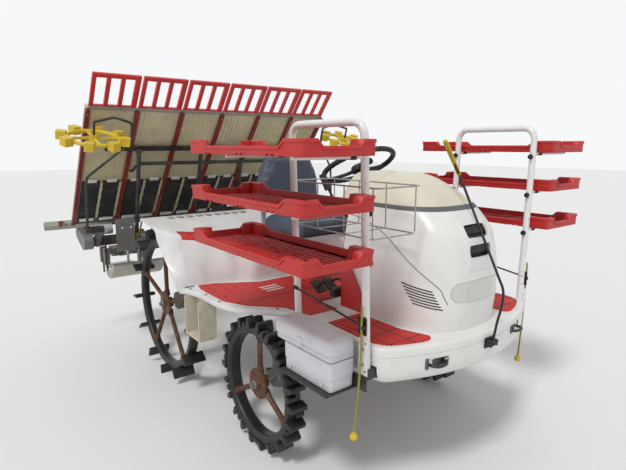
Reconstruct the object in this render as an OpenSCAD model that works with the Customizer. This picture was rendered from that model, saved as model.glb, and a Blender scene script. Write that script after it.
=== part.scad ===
// Riding rice transplanter, six rows, with its planting unit raised.
// +X is forward, +Y left, +Z up, in millimetres. Lengths along X are measured
// from the front wheel axle, and at_origin() then moves the whole machine so
// that the origin lies on the ground under its middle.

/* [Wheels] */
// Distance between the front and rear axles
wheelbase = 1050; // [1000:10:1120]
// Distance between the middles of the front wheels
front_track = 1200; // [1180:10:1260]
// Distance between the middles of the rear wheels
rear_track = 1280; // [1240:10:1340]
// Radius to the lug tips of a front wheel
front_tip_r = 325; // [315:1:330]
// Radius of a front wheel's tubular rim
front_rim_r = 262; // [250:1:275]
// Thickness of a front rim's tube
front_rim_d = 30; // [24:1:36]
// Width of a front wheel's lugs
front_lug_w = 90; // [70:1:100]
// Lugs round a front wheel
front_lugs = 22; // [16:1:26]
// Radius to the lug tips of a rear wheel
rear_tip_r = 475; // [460:1:480]
// Radius of a rear wheel's tubular rim
rear_rim_r = 395; // [380:1:410]
// Thickness of a rear rim's tube
rear_rim_d = 36; // [28:1:42]
// Width of a rear wheel's paddle lugs
rear_lug_w = 135; // [110:1:140]
// Paddle lugs round a rear wheel
rear_lugs = 13; // [11:2:17]
// Thickness of the wheel spokes
spoke_d = 26; // [20:1:32]
// Diameter of the wheel hub discs
hub_d = 150; // [120:1:170]

/* [Steering] */
// Distance of each kingpin inside its wheel's middle
kingpin_inset = 125; // [110:5:140]
// Diameter of the kingpins
kingpin_d = 32; // [26:1:38]
// Length of the steering arms behind the kingpins
steer_arm = 120; // [100:5:130]
// Diameter of the steering wheel
steer_wheel_d = 400; // [360:5:420]
// Height of the steering wheel's middle
steer_wheel_z = 1345; // [1320:5:1370]
// Lean of the steering column from upright
column_lean = 28; // [20:1:32]

/* [Chassis] */
// Distance between the middles of the chassis rails
rail_gap = 340; // [300:10:360]
// Height of the chassis rails
rail_h = 80; // [60:5:90]
// Width of the chassis rails
rail_w = 50; // [40:2:60]
// Radius of the rear axle tubes
axle_r = 38; // [32:1:42]
// Length of the engine
engine_l = 380; // [320:10:400]
// Width of the engine
engine_w = 340; // [280:10:360]
// Height of the engine
engine_h = 300; // [260:10:320]

/* [Deck] */
// Height of the deck's walking surface
deck_z = 680; // [675:1:690]
// Thickness of the moulded panels
panel_t = 6; // [4:1:8]
// Half width of the deck beside the driver
deck_half_w = 700; // [680:5:720]
// Half width over the rear fenders
fender_half_w = 760; // [750:5:770]
// Height of the platform behind the seat
platform_z = 1010; // [1000:5:1025]
// Room between the rear lug tips and the fender
fender_gap = 22; // [18:1:30]
// Height of the deck's edge
deck_edge_h = 24; // [20:1:30]

/* [Front step] */
// Reach of the front step ahead of the front axle
bow_x = 825; // [810:5:840]
// Half width of the front step
apron_half_w = 505; // [480:5:520]
// Height of the front step's surface
apron_z = 700; // [695:1:710]
// Depth of the front step's skirt
apron_h = 150; // [130:5:160]

/* [Bonnet] */
// Half width of the bonnet at its foot
bonnet_half_w = 265; // [250:5:280]
// Reach of the bonnet's nose
bonnet_x = 775; // [765:1:785]
// Height of the bonnet's peak
bonnet_top_z = 1323; // [1300:1:1335]

/* [Seat] */
// Width of the seat
seat_w = 490; // [450:5:510]
// Height of the seat's cushion top
seat_z = 1050; // [1040:5:1070]
// Height of the seat back's top
seat_back_z = 1420; // [1390:5:1430]
// Place of the seat back's front face
seat_back_x = -570; // [-590:5:-560]

/* [Racks] */
// Distance of the rack posts' tops from the middle
post_y = 560; // [550:2:570]
// Distance of the rack posts' feet from the middle
post_foot_y = 530; // [525:1:540]
// Height of the rack posts' tops
post_z = 1530; // [1500:5:1550]
// Thickness of the rack tubes
post_d = 30; // [26:1:34]
// Length of a seedling tray
tray_l = 800; // [760:10:820]
// Width of a seedling tray
tray_w = 310; // [290:5:320]
// Depth of a seedling tray
tray_h = 55; // [45:1:60]
// Drop of the trays' walls between their raised corners
tray_dip = 22; // [15:1:28]
// Height of the lowest tray's rim
tray_z = 1100; // [1090:5:1110]
// Height from one tray to the next
tray_step = 185; // [175:1:190]

/* [Lift linkage] */
// Length of the lower and top links
link_l = 576; // [560:2:590]
// Rise of the links above level with the unit raised
link_rise = 20.3; // [18:0.1:22]
// Thickness of the links
link_d = 34; // [28:1:38]
// Diameter of the link pins
pin_d = 20; // [16:1:22]

/* [Seedling table] */
// Distance from one planting row to the next
row_pitch = 300; // [295:1:302]
// Rows planted at once
rows = 6; // [6:1:6]
// Place of the table's top edge
table_x = -1340; // [-1350:1:-1335]
// Height of the table's top edge
table_z = 1670; // [1660:1:1680]
// Slope of the table from level
table_slope = 50.6; // [49:0.1:52]
// Length of the table down its slope
table_l = 996; // [985:1:1000]
// Length of the table's ribbed panels
table_panel_l = 600; // [560:5:620]
// Distance the table stands to the right of the middle
table_shift = 60; // [40:1:75]
// Length of the extension frames above the table
ext_l = 240; // [220:5:260]

/* [Planting unit] */
// Place of the tool beam behind the front axle
beam_x = -1640; // [-1650:1:-1630]
// Height of the tool beam with the unit raised
beam_z = 800; // [790:1:810]
// Width of the tool beam
beam_w = 60; // [50:1:64]
// Place of the rotor axis
rotor_x = -2030; // [-2040:1:-2025]
// Height of the rotor axis with the unit raised
rotor_z = 640; // [635:1:645]
// Reach of the planting claws from the rotor axis
claw_r = 183; // [178:1:186]
// Diameter of the rotor shafts
rotor_shaft_d = 24; // [20:1:28]
// Half length of the guide rail under the table
guide_half_l = 1150; // [1120:5:1160]
// Depth of planting below the floats
plant_depth = 30; // [20:1:35]
// Place of the floats' tails
float_tail_x = -2200; // [-2220:5:-2180]

/* [Markers] */
// Distance of the marker wheels from the middle
marker_y = 970; // [960:2:980]
// Diameter of the marker wheels over their paddles
marker_d = 400; // [380:5:410]
// Thickness of the marker arms
marker_rod_d = 16; // [14:1:18]

/* [Hidden] */
$fn = 32;
seat_gap = 0.3;
run_gap = 5;
pin_play = 0.05;
white = [0.93, 0.92, 0.89];
cream = [0.90, 0.84, 0.68];
red = [0.86, 0.10, 0.09];
dark_red = [0.55, 0.05, 0.06];
black = [0.08, 0.08, 0.08];
steel = [0.62, 0.62, 0.60];
rust = [0.45, 0.27, 0.16];
yellow = [0.93, 0.80, 0.10];
seat_blue = [0.25, 0.29, 0.36];

// A wheel stands on two neighbouring lug tips, so its axle is a little lower
// than its tip radius.
lug_half_t = 11;
kingpin_y = front_track/2 - kingpin_inset;
paddle_half_t = 7;
front_z = front_tip_r*cos(180/front_lugs) + lug_half_t*sin(180/front_lugs);
rear_z = rear_tip_r*cos(180/rear_lugs) + paddle_half_t*sin(180/rear_lugs);
rear_x = -wheelbase;
rail_z = 600;
// Place of the centre marker's pin ahead of the front step
marker_pin = [bow_x + 18, 650];
marker_reach = 37;
shift_x = -(marker_pin[0] + marker_reach + float_tail_x)/2;

// Points of the lift linkage, as [x, z]
link_a = [-980, 630];
link_b = [-900, 860];
link_end = link_l*[-cos(link_rise), sin(link_rise)];
hitch_a = link_a + link_end;
hitch_b = link_b + link_end;
cyl_foot = [-520, 740];
cyl_eye = link_a + [-50, 160];

// The table's own frame: x down the slope, y left, z towards its underside.
table_tilt = 180 - table_slope;
table_half_w = rows*row_pitch/2;
divider_w = 26;
panel_gap = 2;
guide_w = 44;
roller_u = 290;
roller_d = 30;
rail_top = 40;
roller_at = [table_x, table_z] + roller_u*[-cos(table_slope), -sin(table_slope)]
    + (rail_top + roller_d/2 + seat_gap)*[sin(table_slope), -cos(table_slope)];
case_y = [-2*row_pitch, 0, 2*row_pitch];
case_w = 70;
rotor_case_r = 85;
float_bottom = rotor_z - claw_r + plant_depth;

module at_origin() translate([shift_x, 0, 0]) children();
module both_sides() { children(); mirror([0, 1, 0]) children(); }
module on_table() translate([table_x, -table_shift, table_z]) rotate([0, table_tilt, 0]) children();
module along(v) rotate([0, acos(v[2]/norm(v)), atan2(v[1], v[0])]) children();
module bar(p, q, d) translate(p) along(q - p) cylinder(d = d, h = norm(q - p));
function unit(v) = v/norm(v);
// Rounds each inner corner of a route, starting c before it
function eased(p, c) = concat([p[0]],
    [for (i = [1:len(p) - 2]) let (a = p[i] + c*unit(p[i - 1] - p[i]), b = p[i] + c*unit(p[i + 1] - p[i]))
        each [for (t = [0, 1/3, 2/3, 1]) (1 - t)*(1 - t)*a + 2*t*(1 - t)*p[i] + t*t*b]],
    [p[len(p) - 1]]);
// Rings of a bent bar: each is the last one carried along to the next corner's mitre
function rings_on(p, i, ring) = i >= len(p) ? [] : let (
        t = unit(p[i] - p[i - 1]),
        n = i == len(p) - 1 ? t : unit(t + unit(p[i + 1] - p[i])),
        next = [for (q = ring) q + t*(((p[i] - q)*n)/(t*n))])
    concat([next], rings_on(p, i + 1, next));
function bar_rings(p, d, sides) = let (
        t = unit(p[1] - p[0]),
        u = unit(cross(t, abs(t[2]) < 0.9 ? [0, 0, 1] : [1, 0, 0])),
        v = cross(t, u),
        first = [for (k = [0:sides - 1]) p[0] + d/2*(cos(360*k/sides)*u + sin(360*k/sides)*v)])
    concat([first], rings_on(p, 1, first));
// A closed skin through rings of points, with flat ends
module loft(rings, flip_from = 1000) {
    m = len(rings[0]);
    k = len(rings);
    // A thin wall's ring, flip_from points out and back, is closed at its ends by narrow pieces
    thin = flip_from < m;
    polyhedron(
        points = [for (r = rings) each r],
        faces = concat(
            thin ? [for (i = [0:m/2 - 2]) [i, i + 1, m - 2 - i, m - 1 - i]] : [[for (i = [0:m - 1]) i]],
            // Past flip_from a ring takes the other diagonal, so that both sides of a thin wall bend alike
            [for (j = [0:k - 2]) for (i = [0:m - 1]) let (h = (i + 1) % m) each i < flip_from
                ? [[j*m + i, (j + 1)*m + h, j*m + h], [j*m + i, (j + 1)*m + i, (j + 1)*m + h]]
                : [[j*m + i, (j + 1)*m + i, j*m + h], [j*m + h, (j + 1)*m + i, (j + 1)*m + h]]],
            thin ? [for (i = [0:m/2 - 2]) [for (n = [m - 1 - i, m - 2 - i, i + 1, i]) (k - 1)*m + n]]
                : [[for (i = [m - 1:-1:0]) (k - 1)*m + i]]));
}
module bent_bar(points, d, corner = 30, sides = 10) loft(bar_rings(eased(points, corner), d, sides));
// A plate cut from an outline of [x, z] points, from y0 to y0 + t
module side_plate(outline, y0, t)
    translate([0, y0 + t, 0]) rotate([90, 0, 0]) linear_extrude(t) polygon(outline);
module cross_bar(x, z, d, y0, y1)
    translate([x, y0, z]) rotate([-90, 0, 0]) cylinder(d = d, h = y1 - y0);
module box(lo, hi) translate(lo) cube(hi - lo);
function arc(c, r, a0, a1, n) = [for (i = [0:n]) let (a = a0 + (a1 - a0)*i/n) c + r*[cos(a), sin(a)]];
// A flat link between two round ends, p and q as [x, z]
module flat_link(p, q, r1, r2, y0, t) {
    d = (q - p)/norm(q - p);
    n = [-d[1], d[0]];
    cross_bar(p[0], p[1], 2*r1, y0, y0 + t);
    cross_bar(q[0], q[1], 2*r2, y0, y0 + t);
    // The strap runs into its eyes a little inside their edges
    side_plate([p + 0.97*r1*n, q + 0.97*r2*n, q - 0.97*r2*n, p - 0.97*r1*n], y0, t);
}
function at_x(p, y) = [p[0], y, p[1]];

// Chassis
rack_x = [220, 650];
chassis_end = rear_x - 60;
link_y = rail_gap/2 - rail_w/2 - 45;
link_t = 16;
lug_t = 18;
seat_leg_x = -590;
beam_at = [685, 200, seat_leg_x, cyl_foot[0], link_b[0]];
under_deck_z = deck_z - panel_t - seat_gap;
under_apron_z = apron_z - panel_t - seat_gap;
module lug(foot, eye, r, y0, t) difference() {
    flat_link(foot, eye, r + 6, r, y0, t);
    cross_bar(eye[0], eye[1], pin_d + 2*pin_play, y0 - 1, y0 + t + 1);
}
// Uprights of the top link and of the lift cylinder, on the frame's cross pieces
module link_lugs() color(black) difference() {
    for (s = [-1, 1]) {
        lug([link_b[0], rail_z + 20], link_b, 26, s > 0 ? 24 : -24 - lug_t, lug_t);
        lug([cyl_foot[0], rail_z + 20], cyl_foot, 24, s > 0 ? 30 : -30 - lug_t, lug_t);
    }
    box([chassis_end, -100, rail_z - 100], [0, 100, rail_z + 30 + seat_gap]);
}
module chassis_frame() color(black) {
    difference() {
        for (s = [-1, 1]) {
            y = s*rail_gap/2;
            box([chassis_end, y - rail_w/2, rail_z - rail_h/2], [700, y + rail_w/2, rail_z + rail_h/2]);
        }
        cross_bar(link_a[0], link_a[1], pin_d + 2*pin_play, -rail_gap/2, rail_gap/2);
    }
    for (x = beam_at) box([x - 22, -rail_gap/2 - 5, rail_z - 30], [x + 22, rail_gap/2 + 5, rail_z + 30]);
    for (s = [-1, 1]) {
        // Lugs of the lower links, inside the rails
        lug([link_a[0], rail_z], link_a, 28, s > 0 ? link_y + link_t + 6 : -link_y - link_t - 30, 24);
    }
    both_sides() {
        // Outriggers of the racks and the cross members under the deck and the front step
        box([rack_x[1] - 20, rail_gap/2, rail_z - 20], [rack_x[1] + 20, rack_foot_y(rail_z + 20) + 16, rail_z + 20]);
        box([-480, rail_gap/2, rail_z], [-440, 655, under_deck_z]);
        box([60, rail_gap/2, rail_z + 20], [100, 440, under_deck_z]);
        box([663, rail_gap/2 - 20, rail_z], [700, rail_gap/2 + 20, under_apron_z]);
        // Posts under the platform behind the seat
        box([rear_x - 40, rail_gap/2 - 20, rail_z], [rear_x, rail_gap/2 + 20, platform_z - panel_t - 7]);
    }
    // Wall behind the engine
    translate([wall_x, 0, 0]) rotate([90, 0, 90]) linear_extrude(8 - seat_gap) polygon(concat(
        [[-bonnet_half_w + 30, deck_z + seat_gap], [-bonnet_half_w + 30, rail_z + 38],
            [bonnet_half_w - 30, rail_z + 38], [bonnet_half_w - 30, deck_z + seat_gap]],
        [for (i = [0:cowl_row]) [bonnet_rows[i][2] - 2, i == 0 ? bonnet_rows[i][0] + 4 : bonnet_rows[i][0] - 4]],
        [for (i = [cowl_row:-1:0]) [-bonnet_rows[i][2] + 2, i == 0 ? bonnet_rows[i][0] + 4 : bonnet_rows[i][0] - 4]]));
    // Angle rail that carries the tool box on the right
    box([box_foot_x - 2, -rail_out_y, 532], [668, -rail_out_y + 4, 590]);
    box([box_foot_x - 2, -rail_out_y - 150, 532], [612, -rail_out_y + 1, 536]);
}
rail_out_y = 545;
box_foot_x = front_tip_r - 19;

engine_x = 260;
module engine_block() color(steel)
    box([engine_x, -engine_w/2, rail_z + rail_h/2 + seat_gap],
        [engine_x + engine_l, engine_w/2, rail_z + rail_h/2 + engine_h]);

module transmission_case() color(steel) {
    w = rail_gap - rail_w - 2*seat_gap;
    box([-340, -w/2, 400], [-60 - seat_gap, w/2, rail_z - rail_h/2 + 10]);
    box([-300, -w/2 + 30, 360], [-80, w/2 - 30, 401]);
    // Drive shaft tunnel back to the rear axle
    translate([rear_x + axle_r + 25 + seat_gap, 0, rear_z]) rotate([0, 90, 0])
        cylinder(r = 42, h = -rear_x - axle_r - 25 - 300);
}

front_case_z = front_z + 145;
module front_axle() color(steel) {
    difference() {
        union() {
            translate([0, -kingpin_y, front_case_z]) rotate([-90, 0, 0]) cylinder(r = 42, h = 2*kingpin_y);
            for (s = [-1, 1]) translate([0, s*kingpin_y, front_case_z - 55]) cylinder(r = 50, h = 110);
            box([-60, -90, front_case_z - 60], [60, 90, front_case_z + 45]);
            for (s = [-1, 1]) box([-30, s*rail_gap/2 - 20, front_case_z],
                [30, s*rail_gap/2 + 20, rail_z - rail_h/2 - seat_gap]);
        }
        for (s = [-1, 1]) translate([0, s*kingpin_y, front_case_z - 60])
            cylinder(d = kingpin_d + 2*pin_play, h = 85);
    }
}

rear_hub_in = rear_track/2 - 62;
rear_shaft_d = 36;
module rear_axle() color(steel) {
    difference() {
        union() {
            cross_bar(rear_x, rear_z, 2*axle_r, -rear_hub_in, rear_hub_in);
            for (s = [-1, 1]) cross_bar(rear_x, rear_z, 2*axle_r + 36,
                s > 0 ? rear_hub_in - 40 : -rear_hub_in, s > 0 ? rear_hub_in : -rear_hub_in + 40);
            cross_bar(rear_x, rear_z, 2*axle_r + 50, -95, 95);
            // Seats up to the chassis rails
            for (s = [-1, 1]) box([rear_x - 45, s*rail_gap/2 - 20, rear_z],
                [rear_x + 45, s*rail_gap/2 + 20, rail_z - rail_h/2 - seat_gap]);
        }
        for (s = [-1, 1]) cross_bar(rear_x, rear_z, rear_shaft_d + 2*pin_play,
            s > 0 ? rear_hub_in - 70 : -rear_hub_in - 1, s > 0 ? rear_hub_in + 1 : -rear_hub_in + 70);
    }
}

// Bonnet sections: height, nose reach, half width, length of the rounded front
bonnet_rows = [
    [apron_z + seat_gap, bonnet_x - 12, bonnet_half_w, 300],
    [816, bonnet_x, bonnet_half_w - 3, 290],
    [950, bonnet_x - 4, bonnet_half_w - 8, 270],
    [1087, bonnet_x - 30, bonnet_half_w - 30, 240],
    [1150, bonnet_x - 78, bonnet_half_w - 45, 210],
    [1190, bonnet_x - 120, bonnet_half_w - 58, 190],
    [1225, bonnet_x - 170, bonnet_half_w - 76, 165],
    [1280, bonnet_x - 265, bonnet_half_w - 115, 120],
    [bonnet_top_z - 12, bonnet_x - 335, bonnet_half_w - 150, 90],
    [bonnet_top_z, bonnet_x - 375, bonnet_half_w - 185, 70]];
bonnet_back = 200;
cowl_back = 125;
cowl_row = 5;
function nose_ring(row, inset, back, z) = let (
        x1 = row[1] - inset, w = row[2] - inset, c = row[1] - row[3], n = 14)
    concat([[back, -w, z]],
        [for (i = [0:n]) let (a = -90 + 180*i/n, ca = max(0, cos(a)), sa = sin(a))
            [c + (x1 - c)*pow(ca, 0.75), w*sign(sa)*pow(abs(sa), 0.75), z]],
        [[back, w, z]]);
// The bonnet's solid form between two rows of the table, moved in by inset
module nose_form(from, to, inset, back, drop) loft(
    [for (i = [from:to]) let (r = bonnet_rows[i])
        nose_ring(r, inset, back, r[0] - (i == from ? drop : 0) - (i == to && inset > 0 ? panel_t : 0))]);
headlight_box = [[600, -162, 815], [bonnet_x + 20, 162, 912]];
intake_w = 150;
intake_z = [1026, 1104];
intake_h = 48;
module bonnet_cuts(gap) {
    box(headlight_box[0] - gap*[1, 1, 1], headlight_box[1] + gap*[1, 1, 1]);
    for (z = intake_z) box([560, -intake_w/2 - gap, z - gap], [bonnet_x, intake_w/2 + gap, z + intake_h + gap]);
}
module bonnet() color(white) difference() {
    nose_form(0, cowl_row, 0, bonnet_back, 0);
    nose_form(0, cowl_row, panel_t, bonnet_back - 1, 1);
    bonnet_cuts(0);
    // The cowl's mouth
    box([bonnet_back - 1, -150, 1150], [620, 150, 1200]);
    // Side grille slots
    for (i = [0:6]) translate([566 + 9*i, 0, 893 - 13*i]) rotate([0, 9.5, 0])
        translate([0, -400, -5]) cube([132 - 4*i, 800, 6]);
}
module nose_band(near, far, from, to) difference() {
    nose_form(from, to, near, bonnet_back + 5, 0);
    nose_form(from, to, far, bonnet_back, 1);
}
module bonnet_grilles() color(black) intersection() {
    nose_band(panel_t + seat_gap, panel_t + 4, 0, cowl_row);
    union() {
        both_sides() box([540, 168, 775], [744, 300, 912]);
        for (z = intake_z) box([500, -intake_w/2 - 10, z - 10], [bonnet_x, intake_w/2 + 10, z + intake_h + 10]);
    }
}
module headlight() color([0.8, 0.82, 0.8]) intersection() {
    difference() {
        nose_form(0, 2, -2, bonnet_back, 0);
        nose_form(0, 2, panel_t + 4, bonnet_back - 1, 1);
    }
    box(headlight_box[0] + seat_gap*[1, 1, 1], headlight_box[1] - seat_gap*[0, 1, 1]);
}
module column_axis() translate([20, 0, steer_wheel_z]) rotate([0, 180 - column_lean, 0]) children();
column_d = 50;
wall_x = bonnet_back - 8;
module dash_cowl() color(cream) {
    difference() {
        nose_form(cowl_row, len(bonnet_rows) - 1, 0, cowl_back, 0);
        nose_form(cowl_row, len(bonnet_rows) - 1, panel_t, cowl_back + 5, 1);
        column_axis() cylinder(d = column_d + 2*seat_gap, h = 600);
    }
    difference() {
        side_plate([[70, 700], [70, 1120], [126, bonnet_rows[cowl_row][0] + 1],
            [wall_x - seat_gap, bonnet_rows[cowl_row][0] + 1], [wall_x - seat_gap, 700]], -120, 240);
        side_plate([[76, 690], [76, 1118], [129, 1184], [wall_x + 3, 1184], [wall_x + 3, 690]], -114, 228);
        column_axis() cylinder(d = column_d + 2*seat_gap, h = 600);
    }
}

module front_apron() color(white) difference() {
    intersection() {
        translate([bow_x - 1000, 0, apron_z - apron_h]) cylinder(r = 1000, h = apron_h, $fn = 96);
        box([330, -apron_half_w, 0], [bow_x, apron_half_w, apron_z]);
    }
    translate([0, 0, -panel_t]) intersection() {
        translate([bow_x - 1000, 0, apron_z - apron_h - 1]) cylinder(r = 1000 - panel_t, h = apron_h + 1, $fn = 96);
        box([320, -apron_half_w + panel_t, 0], [bow_x, apron_half_w - panel_t, apron_z]);
    }
    // Room for the engine under the bonnet, and for the rack's outriggers
    box([320, -bonnet_half_w + 20, 600], [bonnet_x - 150, bonnet_half_w - 20, apron_z + 1]);
    box([320, -engine_w/2 - 10, 600], [engine_x + engine_l + 10, engine_w/2 + 10, apron_z + 1]);
    box([rack_x[1] - 24, -600, rail_z - 24], [rack_x[1] + 24, 600, rail_z + 24]);
    box([320, -rail_gap/2 - rail_w/2 - 4, 0], [340, rail_gap/2 + rail_w/2 + 4, rail_z + rail_h]);
}

// Deck outline from its rear corner to the front step, as [x, half width]
deck_points = [
    [-585, 748], [-520, deck_half_w + 15], [-440, deck_half_w], [-230, deck_half_w],
    [-130, deck_half_w - 25], [-30, deck_half_w - 100], [60, 520], [160, 490], [330 - seat_gap, 490]];
function outline(points) = concat(points, [for (i = [len(points) - 1:-1:0]) [points[i][0], -points[i][1]]]);
// The fender's foot stands on the deck
fender_foot = deck_z + seat_gap;
// Fender sections: half width, foot x and z, shoulder x and z, end of the shoulder x and z
fender_rows = [
    [0, -455, fender_foot, -470, 880, -510, 912],
    [330, -460, fender_foot, -480, 862, -530, 905],
    [420, -530, fender_foot, -560, 880, -620, 925],
    [560, -585, fender_foot, -640, 905, -700, 945],
    [700, -598, fender_foot, -690, 915, -745, 958],
    [738, -592, fender_foot, -775, 890, -850, 972],
    [fender_half_w, -586, fender_foot, -840, 915, -925, 992]];
rear_lip_x = rear_x - 62;
function fender_ring(r, s) = let (y = s*r[0], t = panel_t,
        outer = [[r[1], r[2]], [(r[1] + r[3])/2 + 6, (r[2] + r[4])/2], [r[3], r[4]],
            [0.6*r[3] + 0.4*r[5] + 4, 0.35*r[4] + 0.65*r[6] + 4], [r[5], r[6]],
            [rear_x + 100, platform_z - 18], [rear_lip_x, platform_z], [rear_lip_x, platform_z - 24]],
        inner = [[rear_lip_x + t, platform_z - 24], [rear_lip_x + t, platform_z - t], [rear_x + 100, platform_z - 18 - t],
            [r[5] - 1, r[6] - t], [0.6*r[3] + 0.4*r[5] + 4 - 0.7*t, 0.35*r[4] + 0.65*r[6] + 4 - 0.7*t],
            [r[3] - t, r[4]], [(r[1] + r[3])/2 + 6 - t, (r[2] + r[4])/2], [r[1] - t, r[2]]])
    [for (p = concat(outer, inner)) [p[0], y, p[1]]];
module deck() color(white) {
    difference() {
        union() {
            translate([0, 0, deck_z - deck_edge_h]) linear_extrude(deck_edge_h) polygon(outline(deck_points));
            box([200, -bonnet_half_w - 20, deck_z - panel_t], [330 - seat_gap, bonnet_half_w + 20, apron_z]);
        }
        translate([0, 0, deck_z - deck_edge_h - 1]) linear_extrude(deck_edge_h - panel_t + 1) polygon(outline(
            [[-579, 715], [-440, deck_half_w - 20], [-240, deck_half_w - 20], [-60, 580], [50, 495], [319, 470]]));
        // Openings under the bonnet and cowl, and inside the fender for the linkage
        box([190, -bonnet_half_w + 25, 0], [400, bonnet_half_w - 25, 900]);
        box([66, -124, 0], [201, 124, 900]);
        box([-700, -200, 0], [-462, 200, 900]);
    }
}
module fender() color(white) difference() {
    intersection() {
        loft([for (i = [len(fender_rows) - 1:-1:1]) fender_ring(fender_rows[i], 1),
              for (r = fender_rows) fender_ring(r, -1)], 7);
        box([rear_lip_x - 10, -fender_half_w - 10, fender_foot - 10], [0, fender_half_w + 10, platform_z + 10]);
    }
    // Opening for the seat's legs
    box([seat_leg_x - 35, -120, deck_z], [seat_leg_x + 35, 120, platform_z]);
}
module deck_mats() color(red) both_sides() {
    translate([0, 0, deck_z + seat_gap]) linear_extrude(5)
        polygon([[-560, 560], [-575, 640], [-520, 655], [-430, deck_half_w - 40], [-240, deck_half_w - 40],
            [-110, 600], [30, 470], [190, 445], [190, 285], [55, 285], [55, 6], [-430, 6], [-430, 330]]);
    translate([0, 0, apron_z + seat_gap]) linear_extrude(5)
        polygon([[360, 290], [360, 470], [600, 478], [660, 462], [685, 415], [650, 330], [600, 290]]);
}
// Foot steps that hang from the deck's members at its rear corners
module foot_steps() color(cream) both_sides() {
    for (x = [-540, -375]) side_plate([[x, 440], [x, deck_z - deck_edge_h - 2], [x + 8, deck_z - deck_edge_h - 2], [x + 8, 440]], 640, 100);
    difference() {
        box([-540, 640, 440], [-367, 740, 448]);
        for (i = [-1:1]) translate([-453 + 45*i, 690, 430]) cylinder(d = 16, h = 30);
    }
    box([-540, 655 + seat_gap, rail_z + 2], [-367, 670, rail_z + 36]);
}
module side_panels() color(red) both_sides()
    side_plate([[205, apron_z + seat_gap], [205, 960], [225, 960], [400, apron_z + seat_gap]], bonnet_half_w + seat_gap, 8);

seat_pan_z = 933;
seat_pan_t = 20;
module seat_base() color(white) {
    box([seat_leg_x - 30, -215, seat_pan_z], [-190, 215, seat_pan_z + seat_pan_t]);
    for (s = [-1, 1]) box([seat_leg_x - 25, s*85 - 20, rail_z + 30 + seat_gap], [seat_leg_x + 25, s*85 + 20, seat_pan_z + 1]);
    // Bracket up to the seat back
    for (s = [-1, 1]) box([seat_back_x - 104, s*150 - 15, seat_pan_z + seat_pan_t - 1],
        [seat_back_x - 94, s*150 + 15, 1150]);
    for (s = [-1, 1]) box([seat_back_x - 104, s*150 - 15, seat_pan_z + seat_pan_t - 1],
        [seat_leg_x, s*150 + 15, seat_pan_z + seat_pan_t + 12]);
}
module seat_cushion() color(seat_blue)
    box([seat_back_x + 2, -seat_w/2, seat_pan_z + seat_pan_t + seat_gap], [-165, seat_w/2, seat_z]);
module seat_back() color(seat_blue)
    box([seat_back_x - 94 + seat_gap, -seat_w/2, seat_z + 6], [seat_back_x, seat_w/2, seat_back_z]);

steer_shaft_d = 18;
module steering_column() color(black) column_axis() difference() {
    translate([0, 0, 40]) cylinder(d = column_d, h = 270);
    translate([0, 0, 39]) cylinder(d = steer_shaft_d + 2*pin_play, h = 80);
}
module steering_wheel() color(black) {
    translate([20, 0, steer_wheel_z]) rotate([0, -column_lean, 0]) {
        rotate_extrude() translate([steer_wheel_d/2 - 14, 0]) circle(d = 28);
        translate([0, 0, -35]) cylinder(d = 90, h = 40);
        translate([0, 0, -110]) cylinder(d = steer_shaft_d, h = 80);
        for (i = [0:2]) rotate(120*i + 90) bar([30, 0, -15], [steer_wheel_d/2 - 14, 0, 0], 20);
    }
}
// Pedals and levers, on the wall behind the engine and on the cowl's sides
module driver_controls() {
    color(black) {
        box([160, -300, 740], [wall_x - seat_gap, -128, 780]);
        for (y = [-200, -270]) {
            bent_bar([[170, y, 760], [110, y, 800], [50, y, 775], [35, y, 752]], 14, 15);
            translate([35, y, 752]) rotate([0, 35, 0]) translate([-40, -28, -6]) cube([75, 56, 12]);
        }
        for (s = [-1, 1]) bar([150, s*(120 + seat_gap), 1080], [150, s*134, 1080], 30);
        bent_bar([[150, -128, 1080], [115, -200, 1130], [60, -235, 1245]], 12, 15);
        bent_bar([[150, 128, 1080], [125, 190, 1130], [90, 225, 1222]], 12, 15);
        translate([90, 225, 1222]) sphere(d = 36);
    }
    color(yellow) bar([61, -234, 1238], [30, -248, 1310], 34);
}

// Racks. The posts lean out a little from their feet.
post_lean = atan((post_y - post_foot_y)/(post_z - deck_z));
module on_post() translate([0, post_y, post_z]) rotate([-post_lean, 0, 0]) children();
function rack_foot_y(z) = post_y - (post_z - z)*tan(post_lean);
function post_face_y(z) = rack_foot_y(z) - post_d/2;
tray_x0 = -60;
tray_y0 = post_y + post_d/2 + 5;
carrier_d = 12;
module rack_frame() {
    bend_r = 55;
    foot = [post_z - deck_z - 0.9, post_z - rail_z - 20.9];
    on_post() {
        for (i = [0:1]) translate([rack_x[i], 0, -foot[i]]) cylinder(d = post_d, h = foot[i] - bend_r);
        for (i = [0:1]) translate([rack_x[i] + [bend_r, -bend_r][i], 0, -bend_r]) rotate([90, 0, 0])
            rotate([0, 0, [90, 0][i]]) rotate_extrude(angle = 90) translate([bend_r, 0]) circle(d = post_d);
        translate([rack_x[0] + bend_r, 0, 0]) rotate([0, 90, 0])
            cylinder(d = post_d, h = rack_x[1] - rack_x[0] - 2*bend_r);
    }
    translate([rack_x[0], post_face_y(deck_z) + post_d/2, deck_z + seat_gap]) cylinder(d = 60, h = 8);
    // Carriers under the trays
    for (x = rack_x) for (i = [0:2])
        cross_bar(x, tray_z + i*tray_step - tray_h - carrier_d/2 - seat_gap, carrier_d,
            post_face_y(tray_z + i*tray_step) + 5, tray_y0 + tray_w - 25);
}
module rack_frames() color(white) both_sides() rack_frame();
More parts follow.
